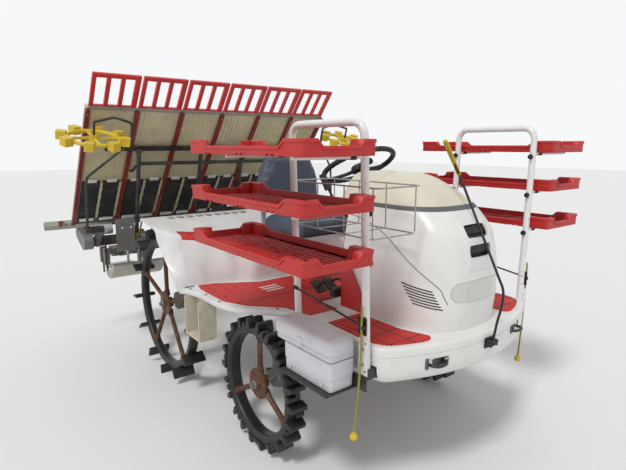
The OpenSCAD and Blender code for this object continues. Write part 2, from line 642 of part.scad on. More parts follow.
module tray() color(red) {
    difference() {
        box([tray_x0, tray_y0, -tray_h], [tray_x0 + tray_l, tray_y0 + tray_w, 0]);
        box([tray_x0 + 8, tray_y0 + 8, -tray_h + 8], [tray_x0 + tray_l - 8, tray_y0 + tray_w - 8, 1]);
        // The walls are lower between the corners
        box([tray_x0 + 120, tray_y0 - 1, -tray_dip], [tray_x0 + tray_l - 120, tray_y0 + tray_w + 1, 1]);
        box([tray_x0 - 1, tray_y0 + 75, -tray_dip], [tray_x0 + tray_l + 1, tray_y0 + tray_w - 75, 1]);
    }
}
module rack_trays() both_sides() for (i = [0:2]) translate([0, 0, tray_z + i*tray_step]) tray();
basket_y = [-post_face_y(1115) + 3.3, -300];
module wire_basket() color(steel) {
    // Rim and floor loops, with drop wires between them
    for (k = [[1300, 0], [1115, 25]]) let (z = k[0], e = k[1])
        for (h = [[419, 160 + e], [421, 690 - e]]) bent_bar([[h[0], basket_y[0], z], [h[1], basket_y[0], z],
            [h[1], basket_y[1], z], [h[0], basket_y[1], z]], 6, 20, 8);
    for (x = [185, 350, 510, 665])
        bent_bar([[x, basket_y[0] + 0.4, 1300], [x, basket_y[0] + 0.4, 1115.4], [x, basket_y[1] + 0.4, 1115.4], [x, basket_y[1] + 0.4, 1300]], 5, 15, 8);
}
box_x = [250, 610];
box_y = [-rail_out_y - 128, -rail_out_y - seat_gap];
module tool_box() color([0.75, 0.77, 0.8]) {
    // The tub is cut back at its foot, where the steered wheel swings
    difference() {
        side_plate([[box_foot_x, 536 + seat_gap], [box_foot_x, 655], [box_x[0], 662], [box_x[0], 700],
            [box_x[1], 700], [box_x[1], 536 + seat_gap]], box_y[0], box_y[1] - box_y[0]);
        side_plate([[box_foot_x + 4, 541], [box_foot_x + 4, 659], [box_x[0] + 4, 666], [box_x[0] + 4, 701],
            [box_x[1] - 4, 701], [box_x[1] - 4, 541]], box_y[0] + 4, box_y[1] - box_y[0] - 8);
    }
    // Lid
    difference() {
        box([box_x[0] - 8, box_y[0] - 8, 690], [box_x[1] + 8, box_y[1] - 1, 748]);
        box([box_x[0] - 0.3, box_y[0] - 0.3, 689], [box_x[1] + 0.3, box_y[1] + 5, 700 + seat_gap]);
    }
}
module side_markers() {
    both_sides() on_post() {
        y = post_d/2 + seat_gap;
        z = 790 - post_z;
        color(black) {
            box([rack_x[1] - 22, y, z - 32], [rack_x[1] + 22, y + 20, z + 38]);
            bar([rack_x[1], y + 10, z + 8], [rack_x[0] + 20, y + 14, z + 60], 8);
        }
        color(yellow) {
            bent_bar([[rack_x[1] + 10, y + 14, z + 80], [rack_x[1] + 8, y + 18, z - 90], [rack_x[1] - 10, y + 45, z - 430]], 9);
            translate([rack_x[1] - 10, y + 45, z - 440]) sphere(d = 32);
        }
    }
    // Clamp that holds the centre marker on the front step
    color(black) difference() {
        union() {
            box([bow_x + seat_gap, -32, marker_pin[1] - 22], [bow_x + 5, 32, marker_pin[1] + 22]);
            for (s = [-1, 1]) box([bow_x + seat_gap, s*20 - 6, marker_pin[1] - 14], [marker_pin[0] + 10, s*20 + 6, marker_pin[1] + 14]);
        }
        cross_bar(marker_pin[0], marker_pin[1], 10 + 2*pin_play, -40, 40);
    }
}

// Steering
front_shaft_d = 30;
module knuckle(s) color(steel) translate([0, s*kingpin_y, 0]) {
    top = front_case_z - 55 - seat_gap;
    translate([0, 0, front_z - 40]) cylinder(r = 48, h = top - front_z + 40);
    translate([0, 0, top - 1]) cylinder(d = kingpin_d, h = 80);
    cross_bar(0, front_z, 90, s > 0 ? 0 : -52, s > 0 ? 52 : 0);
    cross_bar(0, front_z, front_shaft_d, s > 0 ? 50 : -(kingpin_inset + 26), s > 0 ? kingpin_inset + 26 : -50);
    difference() {
        union() {
            box([-steer_arm, -16, front_z - 30], [0, 16, front_z - 12]);
            translate([-steer_arm, 0, front_z - 30]) cylinder(r = 20, h = 18);
        }
        translate([-steer_arm, 0, front_z - 40]) cylinder(d = 14 + 2*pin_play, h = 40);
    }
}
module knuckle_left() knuckle(1);
module knuckle_right() knuckle(-1);
module tie_rod() color(black) {
    z = front_z - 48;
    bar([-steer_arm, -kingpin_y, z], [-steer_arm, kingpin_y, z], 18);
    for (s = [-1, 1]) translate([-steer_arm, s*kingpin_y, 0]) {
        translate([0, 0, z - 14]) cylinder(r = 16, h = front_z - 30 - seat_gap - z + 14);
        translate([0, 0, z]) cylinder(d = 14, h = 42);
    }
}

// Wheels. s is the side, 1 for left. A wheel is drawn about Z, its outer face up.
module spoked_wheel(rim_r, rim_d, count) {
    rotate_extrude($fn = 64) translate([rim_r, 0]) circle(d = rim_d);
    for (i = [0:count - 1]) rotate(90 + 360*i/count) bar([20, 0, 0], [rim_r, 0, 0], spoke_d);
}
// Hub with a blind bore open to the inner face
module wheel_hub(r, bore, inner) difference() {
    union() {
        translate([0, 0, -inner]) cylinder(r = 32, h = inner + 34);
        translate([0, 0, 8]) cylinder(r = r, h = 12);
    }
    if (bore > 0) translate([0, 0, -inner - 1]) cylinder(d = bore + 2*pin_play, h = inner + 28);
}
module front_wheel(s) translate([0, s*front_track/2, front_z]) rotate([-90*s, 0, 0]) {
    color(rust) {
        difference() {
            spoked_wheel(front_rim_r, front_rim_d, 3);
            cylinder(r = 30, h = 90, center = true);
        }
        wheel_hub(hub_d/2, front_shaft_d, 30);
    }
    color(black) for (i = [0:front_lugs - 1]) rotate(90 + 360*(i + 0.5)/front_lugs)
        translate([front_rim_r - 6, -lug_half_t, -front_lug_w/2])
            cube([front_tip_r - front_rim_r + 6, 2*lug_half_t, front_lug_w]);
}
module rear_wheel(s) translate([rear_x, s*rear_track/2, rear_z]) rotate([-90*s, 0, 0]) {
    color(rust) {
        difference() {
            spoked_wheel(rear_rim_r, rear_rim_d, 5);
            cylinder(r = 30, h = 90, center = true);
        }
        wheel_hub(hub_d/2, 0, 40);
        // Axle shaft that runs in the axle tube
        translate([0, 0, -rear_track/2 + rear_hub_in - 60]) cylinder(d = rear_shaft_d, h = rear_track/2 - rear_hub_in + 40);
    }
    color(black) for (i = [0:rear_lugs - 1]) rotate(90 + 360*(i + 0.5)/rear_lugs)
        translate([rear_rim_r - 10, -paddle_half_t, -rear_lug_w/2])
            cube([rear_tip_r - rear_rim_r + 10, 2*paddle_half_t, rear_lug_w]);
}
module front_wheel_left() front_wheel(1);
module front_wheel_right() front_wheel(-1);
module rear_wheel_left() rear_wheel(1);
module rear_wheel_right() rear_wheel(-1);

// Lift linkage
module pin_eye(p, y0, t, r) difference() {
    cross_bar(p[0], p[1], 2*r, y0, y0 + t);
    cross_bar(p[0], p[1], pin_d + 2*pin_play, y0 - 1, y0 + t + 1);
}
module lower_links() color(black) {
    difference() {
        union() {
            for (s = [-1, 1]) flat_link(link_a, hitch_a, 26, 26, s > 0 ? link_y : -link_y - link_t, link_t);
            // Lift shaft, cross tube and the crank that the cylinder pulls
            cross_bar(link_a[0], link_a[1], 40, -link_y, link_y);
            mid = (link_a + hitch_a)/2;
            cross_bar(mid[0], mid[1], 34, -link_y, link_y);
            for (s = [-1, 1]) flat_link(link_a, cyl_eye, 26, 18, s > 0 ? 15 : -27, 12);
        }
        cross_bar(hitch_a[0], hitch_a[1], pin_d + 2*pin_play, -link_y - 20, link_y + 20);
        cross_bar(cyl_eye[0], cyl_eye[1], pin_d, -30, 30);
    }
    cross_bar(link_a[0], link_a[1], pin_d, -rail_gap/2 + 5, rail_gap/2 - 5);
}
module top_link() color(black) {
    difference() {
        flat_link(link_b, hitch_b, 18, 18, -16, 32);
        cross_bar(hitch_b[0], hitch_b[1], pin_d + 2, -20, 20);
    }
    cross_bar(link_b[0], link_b[1], pin_d, -24 - lug_t, 24 + lug_t);
}
function on_cylinder(t) = at_x(cyl_foot + t*(cyl_eye - cyl_foot), 0);
module lift_barrel() color(black) difference() {
    union() {
        bar(on_cylinder(0), on_cylinder(0.62), 50);
        cross_bar(cyl_foot[0], cyl_foot[1], 50, -24, 24);
        cross_bar(cyl_foot[0], cyl_foot[1], pin_d, -30 - lug_t, 30 + lug_t);
    }
    bar(on_cylinder(0.1), on_cylinder(0.7), 24 + 2*pin_play);
}
module lift_rod() color(steel) difference() {
    union() {
        bar(on_cylinder(0.3), on_cylinder(1), 24);
        cross_bar(cyl_eye[0], cyl_eye[1], 36, -12, 12);
    }
    cross_bar(cyl_eye[0], cyl_eye[1], pin_d, -14, 14);
}

// Planting unit
post_rows = [170, 620];
beam_half_l = 920;
marker_foot = [-1400, beam_half_l + 80, 920];
marker_hub_l = 30;
marker_pin_d = 12;
bracket_in = beam_half_l - 16;
bracket_lug = [marker_foot[1] - 55, marker_foot[1] + 18];
module planting_frame() color(black) {
    box([beam_x - beam_w/2, -beam_half_l, beam_z - beam_w/2], [beam_x + beam_w/2, beam_half_l, beam_z + beam_w/2]);
    for (s = [-1, 1]) {
        // Hitch plates
        side_plate([[beam_x - 20, beam_z - 28], [beam_x - 25, beam_z + 60], hitch_b + [-36, 20], hitch_b + [-10, 34],
            hitch_b + [24, 20], hitch_b + [28, -10], hitch_a + [34, 0], hitch_a + [20, -30], [beam_x + 30, beam_z - 28]],
            s > 0 ? 40 : -54, 14);
        // Posts up to the rollers under the table
        for (y = post_rows) {
            bar([beam_x, s*y, beam_z], [roller_at[0] + 6, s*y, roller_at[1] - 8], 28);
            cross_bar(roller_at[0], roller_at[1], roller_d, s*y - 18, s*y + 18);
        }
        // Marker brackets at the beam's ends
        side_plate([[beam_x + 20, beam_z - 24], [beam_x + 6, beam_z + 24], [marker_foot[0] - 25, marker_foot[2] + 14],
            [marker_foot[0] + 25, marker_foot[2] + 14], [marker_foot[0] + 25, marker_foot[2] - 14],
            [beam_x + 90, beam_z - 24]], s > 0 ? bracket_in : -bracket_in - 12, 12);
        for (x = [-marker_hub_l/2 - 10.3, marker_hub_l/2 + 0.3])
            box([marker_foot[0] + x, s > 0 ? bracket_lug[0] : -bracket_lug[1], marker_foot[2] - 18],
                [marker_foot[0] + x + 10, s > 0 ? bracket_lug[1] : -bracket_lug[0], marker_foot[2] + 18]);
        box([marker_foot[0] - 25, s > 0 ? bracket_in : -bracket_lug[0] - 12, marker_foot[2] - 18],
            [marker_foot[0] + 25, s > 0 ? bracket_lug[0] + 12 : -bracket_in, marker_foot[2] + 18]);
        translate([marker_foot[0] - 26, s*marker_foot[1], marker_foot[2]]) rotate([0, 90, 0])
            cylinder(d = marker_pin_d, h = 52);
    }
    cross_bar(hitch_a[0], hitch_a[1], pin_d, -link_y - link_t - 4, link_y + link_t + 4);
    cross_bar(hitch_b[0], hitch_b[1], pin_d, -50, 50);
    // Tube between the posts
    tube = 0.86;
    cross_bar(beam_x + tube*(roller_at[0] - beam_x), beam_z + tube*(roller_at[1] - beam_z), 26, -post_rows[1], post_rows[1]);
}
module accessory_plates() color([0.85, 0.86, 0.88]) both_sides() difference() {
    box([beam_x + beam_w/2 + seat_gap, post_rows[1] + 20, 715], [beam_x + beam_w/2 + 6, 770, 945]);
    for (y = [-30, 30]) for (z = [-20, 20]) translate([beam_x, 695 + y, 900 + z]) rotate([0, 90, 0]) cylinder(d = 11, h = 60);
}
module planting_cases() {
    color(steel) difference() {
        union() {
            for (y = case_y) {
                flat_link([beam_x - 20, beam_z - 10], [rotor_x, rotor_z], 62, 48, y - case_w/2, case_w);
                // Strut up to the guide rail
                on_table() translate([0, table_shift + y, 0]) box([guide_u + 6, -20, 24 + seat_gap], [guide_u + 40, 20, 190]);
            }
            // Side case that drives the table's cross feed
            flat_link([beam_x, beam_z], [beam_x - 140, beam_z + 45], 52, 38, -beam_half_l - 62, 60);
        }
        box([beam_x - beam_w/2 - seat_gap, -beam_half_l - seat_gap, beam_z - beam_w/2 - seat_gap],
            [beam_x + beam_w/2 + seat_gap, beam_half_l + seat_gap, beam_z + beam_w/2 + seat_gap]);
        // Room for the outer posts
        for (s = [-1, 1]) box([beam_x - 50, s*post_rows[1] - 20, beam_z], [beam_x + 60, s*post_rows[1] + 20, beam_z + 90]);
        for (y = case_y) cross_bar(rotor_x, rotor_z, rotor_shaft_d + 2*pin_play, y - case_w/2 - 1, y + case_w/2 + 1);
    }
    accessory_plates();
}
float_wide_x = rotor_x + claw_r + 14;
float_nose_x = -1655;
module floats() color(white) for (y = case_y) {
    side_plate([[float_nose_x, float_bottom + 110], [float_nose_x - 70, float_bottom + 25], [float_nose_x - 120, float_bottom],
        [float_wide_x, float_bottom], [float_wide_x, float_bottom + 50], [float_nose_x - 100, float_bottom + 60],
        [float_nose_x - 30, float_bottom + 125]], y - 185, 370);
    side_plate([[float_wide_x + 1, float_bottom], [float_tail_x, float_bottom], [float_tail_x, float_bottom + 22],
        [float_wide_x + 1, float_bottom + 50]], y - 100, 200);
    for (s = [-1, 1]) box([float_nose_x - 170, y + (s > 0 ? case_w/2 + seat_gap : -case_w/2 - 8), float_bottom + 40],
        [float_nose_x - 130, y + (s > 0 ? case_w/2 + 8 : -case_w/2 - seat_gap), 700]);
}
guide_u = table_l + seat_gap;
module guide_rail() color(steel) on_table() translate([0, table_shift, 0])
    box([guide_u, -guide_half_l, -20], [guide_u + guide_w, guide_half_l, 24]);
module planting_rotors() color(steel) for (y = case_y) translate([rotor_x, y, rotor_z]) {
    cross_bar(0, 0, rotor_shaft_d, -128, 128);
    for (s = [-1, 1]) {
        // Rotary case between two claw shafts
        flat_link([-52, 0], [52, 0], rotor_case_r - 52, rotor_case_r - 52, s > 0 ? 45 : -95, 50);
        cross_bar(0, 0, 84, s > 0 ? 45 : -95, s > 0 ? 95 : -45);
        for (e = [-52, 52]) {
            cross_bar(e, 0, 24, s > 0 ? 90 : -160, s > 0 ? 160 : -90);
            // Planting arm with its claw
            side_plate([[e - 18, 34], [e + 14, 34], [e + 20, -20], [e + 6, -90], [e - 8, -90], [e - 22, -20]], s > 0 ? 125 : -165, 40);
            side_plate([[e - 8, -60], [e + 6, -60], [e + 1, claw_drop], [e - 3, claw_drop]], s > 0 ? 138 : -152, 14);
        }
    }
}
claw_drop = -sqrt(claw_r*claw_r - 55*55);
ribs = 9;
module table_panels() color(cream) on_table() {
    box([0, -table_half_w, -16], [table_l, table_half_w, 0]);
    for (i = [0:rows - 1]) for (j = [0:ribs - 1])
        box([8, -table_half_w + (i + (j + 1)/(ribs + 1))*row_pitch - 4, -0.5],
            [table_panel_l - 4, -table_half_w + (i + (j + 1)/(ribs + 1))*row_pitch + 4, 4]);
    for (i = [0:rows]) let (y = -table_half_w + i*row_pitch) box([0, y - 3, -46], [table_l, y + 3, -15]);
}
module table_dividers() color(dark_red) on_table() {
    for (i = [0:rows]) let (y = -table_half_w + i*row_pitch)
        box([2, y - divider_w/2, seat_gap], [table_l - 12, y + divider_w/2, 22]);
}
module upper_rail() color(steel) on_table()
    box([roller_u - 14, -770, 22 + seat_gap], [roller_u + 14, 770, rail_top]);
module table_extensions() color(red) on_table() for (i = [0:rows - 1]) let (y = -table_half_w + i*row_pitch) difference() {
    box([-ext_l, y + 8, -16], [-seat_gap, y + row_pitch - 8, 0]);
    for (j = [0:2]) box([-ext_l + 26, y + 32 + j*84, -20], [-22, y + 32 + j*84 + 60, 5]);
}
module feed_belts() {
    color(black) on_table() for (i = [0:rows - 1]) for (s = [0, 1])
        box([table_panel_l, -table_half_w + i*row_pitch + 24 + s*136, seat_gap],
            [table_l - 10, -table_half_w + i*row_pitch + 140 + s*136, 12]);
    upper_rail();
}

// Markers
marker_hub_at = [-1200, marker_y, 1490];
marker_lean = 18;
module marker_arm(s) color(black) {
    difference() {
        union() {
            translate([marker_foot[0] - marker_hub_l/2, s*marker_foot[1], marker_foot[2]]) rotate([0, 90, 0])
                cylinder(d = 34, h = marker_hub_l);
            bent_bar([[marker_foot[0], s*marker_foot[1], marker_foot[2] + 10], [-1390, s*(marker_foot[1] - 15), 1250], [-1225, s*742, 1470],
                [-1200, s*742, 1580], [-1190, s*850, 1612], marker_spindle(s, 95)], marker_rod_d, 22);
        }
        translate([marker_foot[0] - 30, s*marker_foot[1], marker_foot[2]]) rotate([0, 90, 0])
            cylinder(d = marker_pin_d + 2*pin_play, h = 60);
    }
    bar(marker_spindle(s, 96), marker_spindle(s, -22), 14);
    bar(marker_spindle(s, -22), marker_spindle(s, -30), 26);
}
function marker_spindle(s, h) = [marker_hub_at[0] + h*sin(marker_lean), s*marker_y, marker_hub_at[2] + h*cos(marker_lean)];
module marker_arm_left() marker_arm(1);
module marker_arm_right() marker_arm(-1);
module marker_wheel(s) color(yellow) translate([marker_hub_at[0], s*marker_y, marker_hub_at[2]]) rotate([0, marker_lean, 0]) {
    difference() {
        union() {
            rotate_extrude() translate([marker_d/2 - 56, 0]) circle(d = 24);
            translate([0, 0, -18]) cylinder(d = 50, h = 36);
            for (i = [0:7]) rotate(45*i + 22.5) translate([marker_d/2 - 52, -25, -24]) cube([52, 50, 48]);
            for (i = [0:3]) rotate(90*i) bar([0, 0, 0], [marker_d/2 - 56, 0, 0], 18);
        }
        translate([0, 0, -20]) cylinder(d = 14 + 2*pin_play, h = 40);
    }
}
module marker_wheel_left() marker_wheel(1);
module marker_wheel_right() marker_wheel(-1);
module centre_marker() {
    color(black) {
        translate([0, 0, 0]) cross_bar(marker_pin[0], marker_pin[1], 10, -28, 28);
        cross_bar(marker_pin[0], marker_pin[1], 26, -12, 12);
        bent_bar([at_x(marker_pin, 0), [marker_pin[0] + 34, 0, 880], [640, 0, 1326]], 14);
    }
    color(yellow) bar([640, 0, 1326], [555, 0, 1471], 22);
}

at_origin() chassis_frame();
at_origin() link_lugs();
at_origin() engine_block();
at_origin() transmission_case();
at_origin() front_axle();
at_origin() rear_axle();
at_origin() bonnet();
at_origin() bonnet_grilles();
at_origin() headlight();
at_origin() dash_cowl();
at_origin() front_apron();
at_origin() deck();
at_origin() fender();
at_origin() deck_mats();
at_origin() foot_steps();
at_origin() side_panels();
at_origin() seat_base();
at_origin() seat_cushion();
at_origin() seat_back();
at_origin() steering_column();
at_origin() driver_controls();
at_origin() rack_frames();
at_origin() rack_trays();
at_origin() wire_basket();
at_origin() tool_box();
at_origin() side_markers();
at_origin() steering_wheel();
at_origin() knuckle_left();
at_origin() knuckle_right();
at_origin() tie_rod();
at_origin() front_wheel_left();
at_origin() front_wheel_right();
at_origin() rear_wheel_left();
at_origin() rear_wheel_right();
at_origin() lower_links();
at_origin() top_link();
at_origin() lift_barrel();
at_origin() lift_rod();
at_origin() planting_frame();
at_origin() planting_cases();
at_origin() floats();
at_origin() guide_rail();
at_origin() planting_rotors();
at_origin() table_panels();
at_origin() table_dividers();
at_origin() table_extensions();
at_origin() feed_belts();
at_origin() marker_arm_left();
at_origin() marker_arm_right();
at_origin() marker_wheel_left();
at_origin() marker_wheel_right();
at_origin() centre_marker();
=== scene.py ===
"""Dress of a riding rice transplanter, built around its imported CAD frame.

+X is forward, +Y is the driver's left and +Z is up, in metres, with the origin
on the ground under the middle of the machine.
"""

import logging
import math
from dataclasses import dataclass, field
from enum import Enum
from typing import Iterable, Sequence

import bmesh
import bpy
from mathutils import Matrix, Vector


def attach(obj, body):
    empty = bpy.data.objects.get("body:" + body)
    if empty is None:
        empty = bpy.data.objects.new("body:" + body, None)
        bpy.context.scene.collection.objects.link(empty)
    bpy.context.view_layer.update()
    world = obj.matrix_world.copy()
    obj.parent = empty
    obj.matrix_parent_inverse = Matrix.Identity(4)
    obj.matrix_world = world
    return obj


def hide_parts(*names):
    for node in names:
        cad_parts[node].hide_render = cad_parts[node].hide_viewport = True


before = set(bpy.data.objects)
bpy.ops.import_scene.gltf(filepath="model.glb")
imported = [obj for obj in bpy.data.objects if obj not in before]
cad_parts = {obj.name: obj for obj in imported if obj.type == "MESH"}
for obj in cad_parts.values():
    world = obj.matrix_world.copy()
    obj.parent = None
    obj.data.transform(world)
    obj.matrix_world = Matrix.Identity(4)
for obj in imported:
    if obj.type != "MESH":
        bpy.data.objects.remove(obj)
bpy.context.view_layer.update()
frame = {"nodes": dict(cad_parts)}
log = logging.getLogger("transplanter")

Point = Sequence[float]
Pair = tuple[float, float]
Socket = bpy.types.NodeSocket

# Distance from the front wheels' axle to the middle of the machine
SHIFT = 0.66
# Right and left
SIDES = (-1, 1)
# Tops of the deck and of the front step, and the gap under what lies on them
DECK_TOP = 0.68
STEP_TOP = 0.7
SEAT_GAP = 0.0003
# Places of the axles, as distance ahead of the front one and height
FRONT_AXLE = (0.0, 0.32326)
REAR_AXLE = (-1.05, 0.46287)


def at(x: float, y: float, z: float) -> Vector:
    """Return a point given from the front axle as one from the middle of the machine.

    Args:
        x: Distance ahead of the front axle.
        y: Distance to the left.
        z: Height.

    Returns:
        The point in the shared frame.
    """
    return Vector((x + SHIFT, y, z))


def linear(red: int, green: int, blue: int) -> tuple[float, float, float, float]:
    """Return a screen colour, 0 to 255, as a linear colour with full alpha.

    Args:
        red: Red part.
        green: Green part.
        blue: Blue part.

    Returns:
        Linear red, green, blue and alpha.
    """
    parts = [c / 255 for c in (red, green, blue)]
    made = [c / 12.92 if c <= 0.04045 else ((c + 0.055) / 1.055) ** 2.4 for c in parts]
    return (made[0], made[1], made[2], 1.0)


class Grain(Enum):
    """Fine relief of a surface: scale of its noise, and depth in metres."""

    NONE = (1.0, 0.0)
    MOULDED = (700.0, 0.00012)
    CAST = (260.0, 0.0006)
    RUBBER = (420.0, 0.0003)
    PAINT = (90.0, 0.00006)
    RUST = (180.0, 0.0007)
    VINYL = (520.0, 0.0004)


class Wear(Enum):
    """What shows through at the edges and in blotches."""

    CLEAN = "clean"
    DUST = "dust"
    CHIPS = "chips"
    RUST = "rust"


class Nodes:
    """Builds one material's node tree."""

    def __init__(self, name: str) -> None:
        """Start a material with a Principled shader and Object coordinates."""
        self.material = bpy.data.materials.new(name)
        self.material.use_nodes = True
        self.tree = self.material.node_tree
        self.shader = self.tree.nodes["Principled BSDF"]
        self.coordinates = self.add("ShaderNodeTexCoord").outputs["Object"]

    def add(self, kind: str, **settings: object) -> bpy.types.Node:
        """Add a node and set its properties.

        Args:
            kind: The node's type name.
            settings: Properties to set on it.

        Returns:
            The new node.
        """
        node = self.tree.nodes.new(kind)
        for key, value in settings.items():
            setattr(node, key, value)
        return node

    def link(self, source: Socket, target: Socket) -> None:
        """Join two sockets."""
        self.tree.links.new(source, target)

    def noise(self, scale: float, detail: float = 4.0, stretch: Point = (1, 1, 1)) -> Socket:
        """Return a noise pattern.

        Args:
            scale: Cells in a metre.
            detail: Octaves.
            stretch: Scale along each axis.

        Returns:
            The pattern's value socket.
        """
        source = self.coordinates
        if tuple(stretch) != (1, 1, 1):
            mapping = self.add("ShaderNodeMapping")
            mapping.inputs["Scale"].default_value = stretch
            self.link(source, mapping.inputs["Vector"])
            source = mapping.outputs["Vector"]
        node = self.add("ShaderNodeTexNoise")
        node.inputs["Scale"].default_value = scale
        node.inputs["Detail"].default_value = detail
        self.link(source, node.inputs["Vector"])
        return node.outputs["Fac"]

    def ramp(self, value: Socket, low: float, high: float, top: float = 1.0) -> Socket:
        """Return value mapped from low..high to 0..top, and kept within that.

        Args:
            value: Number that is mapped.
            low: Value that gives 0.
            high: Value that gives top.
            top: Largest result.

        Returns:
            The result's socket.
        """
        node = self.add("ShaderNodeMapRange", clamp=True)
        self.link(value, node.inputs["Value"])
        node.inputs["From Min"].default_value = low
        node.inputs["From Max"].default_value = high
        node.inputs["To Max"].default_value = top
        return node.outputs["Result"]

    def maths(self, operation: str, first: object, second: object) -> Socket:
        """Return a sum, product or other result of two numbers or sockets.

        Args:
            operation: Blender's name of the operation.
            first: First number or socket.
            second: Second number or socket.

        Returns:
            The result's socket.
        """
        node = self.add("ShaderNodeMath", operation=operation)
        for i, value in enumerate((first, second)):
            if isinstance(value, Socket):
                self.link(value, node.inputs[i])
            else:
                node.inputs[i].default_value = value
        return node.outputs["Value"]

    def mix(self, share: Socket, first: object, second: object) -> Socket:
        """Return a blend of two colours or colour sockets.

        Args:
            share: Share of the second colour.
            first: First colour or socket.
            second: Second colour or socket.

        Returns:
            The blend's socket.
        """
        node = self.add("ShaderNodeMix", data_type="RGBA")
        self.link(share, node.inputs["Factor"])
        for key, value in ((6, first), (7, second)):
            if isinstance(value, Socket):
                self.link(value, node.inputs[key])
            else:
                node.inputs[key].default_value = value
        return node.outputs[2]

    def height(self) -> Socket:
        """Return the height over the ground."""
        node = self.add("ShaderNodeSeparateXYZ")
        self.link(self.coordinates, node.inputs["Vector"])
        return node.outputs["Z"]

    def edges(self, radius: float) -> Socket:
        """Return a mask of the sharp edges within a radius.

        Args:
            radius: Width of the edge in metres.

        Returns:
            Socket that is 1 on an edge and 0 elsewhere.
        """
        rounded = self.add("ShaderNodeBevel", samples=4)
        rounded.inputs["Radius"].default_value = radius
        true = self.add("ShaderNodeNewGeometry")
        dot = self.add("ShaderNodeVectorMath", operation="DOT_PRODUCT")
        self.link(rounded.outputs["Normal"], dot.inputs[0])
        self.link(true.outputs["Normal"], dot.inputs[1])
        return self.ramp(dot.outputs["Value"], 0.995, 0.86)

    def bump(self, height: Socket, depth: float) -> None:
        """Set the shader's relief, on top of any there is.

        Args:
            height: Height of the relief, 0 to 1.
            depth: Height in metres at 1.
        """
        node = self.add("ShaderNodeBump")
        node.inputs["Distance"].default_value = depth
        node.inputs["Strength"].default_value = 1.0
        self.link(height, node.inputs["Height"])
        old = self.shader.inputs["Normal"].links
        if old:
            self.link(old[0].from_socket, node.inputs["Normal"])
        self.link(node.outputs["Normal"], self.shader.inputs["Normal"])


@dataclass(frozen=True)
class Finish:
    """One finish, with its colour, gloss, grain and wear."""

    name: str
    colour: tuple[int, int, int]
    roughness: float = 0.5
    metallic: float = 0.0
    coat: float = 0.0
    grain: Grain = Grain.MOULDED
    wear: Wear = Wear.DUST
    shade: float = 0.12
    grime: float = 0.25
    grime_colour: tuple[int, int, int] = (120, 104, 84)
    made: dict = field(default_factory=dict, compare=False, repr=False)

    def material(self) -> bpy.types.Material:
        """Return the material, made on first use."""
        if "m" not in self.made:
            self.made["m"] = self.build().material
        return self.made["m"]

    def base(self, nodes: Nodes) -> Socket:
        """Return the base colour with its slow variation."""
        plain = linear(*self.colour)
        darker = tuple(c * (1 - self.shade) for c in plain[:3]) + (1.0,)
        return nodes.mix(nodes.ramp(nodes.noise(3.5, 5), 0.35, 0.7), plain, darker)

    def build(self) -> Nodes:
        """Build the node tree.

        Returns:
            The finished tree.
        """
        nodes = Nodes(self.name)
        colour = self.base(nodes)
        rough = nodes.ramp(nodes.noise(14, 5), 0.2, 0.8)
        rough = nodes.maths("MULTIPLY_ADD", rough, 0.16)
        rough.node.inputs[2].default_value = max(0.03, self.roughness - 0.08)
        if self.wear is not Wear.CLEAN:
            blotch = nodes.ramp(nodes.noise(9, 8), 0.48, 0.75, self.grime)
            low = nodes.ramp(nodes.height(), 0.75, 0.15, self.grime * 1.6)
            splashes = nodes.maths("MULTIPLY", low, nodes.ramp(nodes.noise(22, 6), 0.3, 0.7))
            dusty = nodes.maths("MAXIMUM", blotch, splashes)
            colour = nodes.mix(dusty, colour, linear(*self.grime_colour))
        if self.wear in (Wear.CHIPS, Wear.RUST):
            under = linear(112, 64, 36) if self.wear is Wear.RUST else linear(96, 92, 88)
            edge = nodes.maths("MULTIPLY", nodes.edges(0.003), nodes.ramp(nodes.noise(38, 6), 0.46, 0.6))
            spots = nodes.ramp(nodes.noise(60, 8), 0.66, 0.72, 0.7 if self.wear is Wear.RUST else 0.35)
            chips = nodes.maths("MAXIMUM", edge, spots)
            colour = nodes.mix(chips, colour, under)
            rough = nodes.maths("MAXIMUM", rough, nodes.maths("MULTIPLY", chips, 0.8))
        nodes.link(colour, nodes.shader.inputs["Base Color"])
        nodes.link(rough, nodes.shader.inputs["Roughness"])
        nodes.shader.inputs["Metallic"].default_value = self.metallic
        nodes.shader.inputs["Coat Weight"].default_value = self.coat
        nodes.shader.inputs["Coat Roughness"].default_value = 0.12
        scale, depth = self.grain.value
        if depth:
            nodes.bump(nodes.noise(scale, 3), depth)
        return nodes


@dataclass(frozen=True)
class RustedSteel(Finish):
    """Bare steel with patches of brown rust."""

    rust_share: float = 0.5

    def base(self, nodes: Nodes) -> Socket:
        """Return the steel's colour under its rust."""
        tones = nodes.mix(nodes.ramp(nodes.noise(45, 8), 0.35, 0.65), linear(104, 62, 38), linear(66, 38, 26))
        where = nodes.ramp(nodes.noise(7, 8), 0.62 - self.rust_share * 0.3, 0.68 - self.rust_share * 0.25)
        return nodes.mix(where, linear(*self.colour), tones)


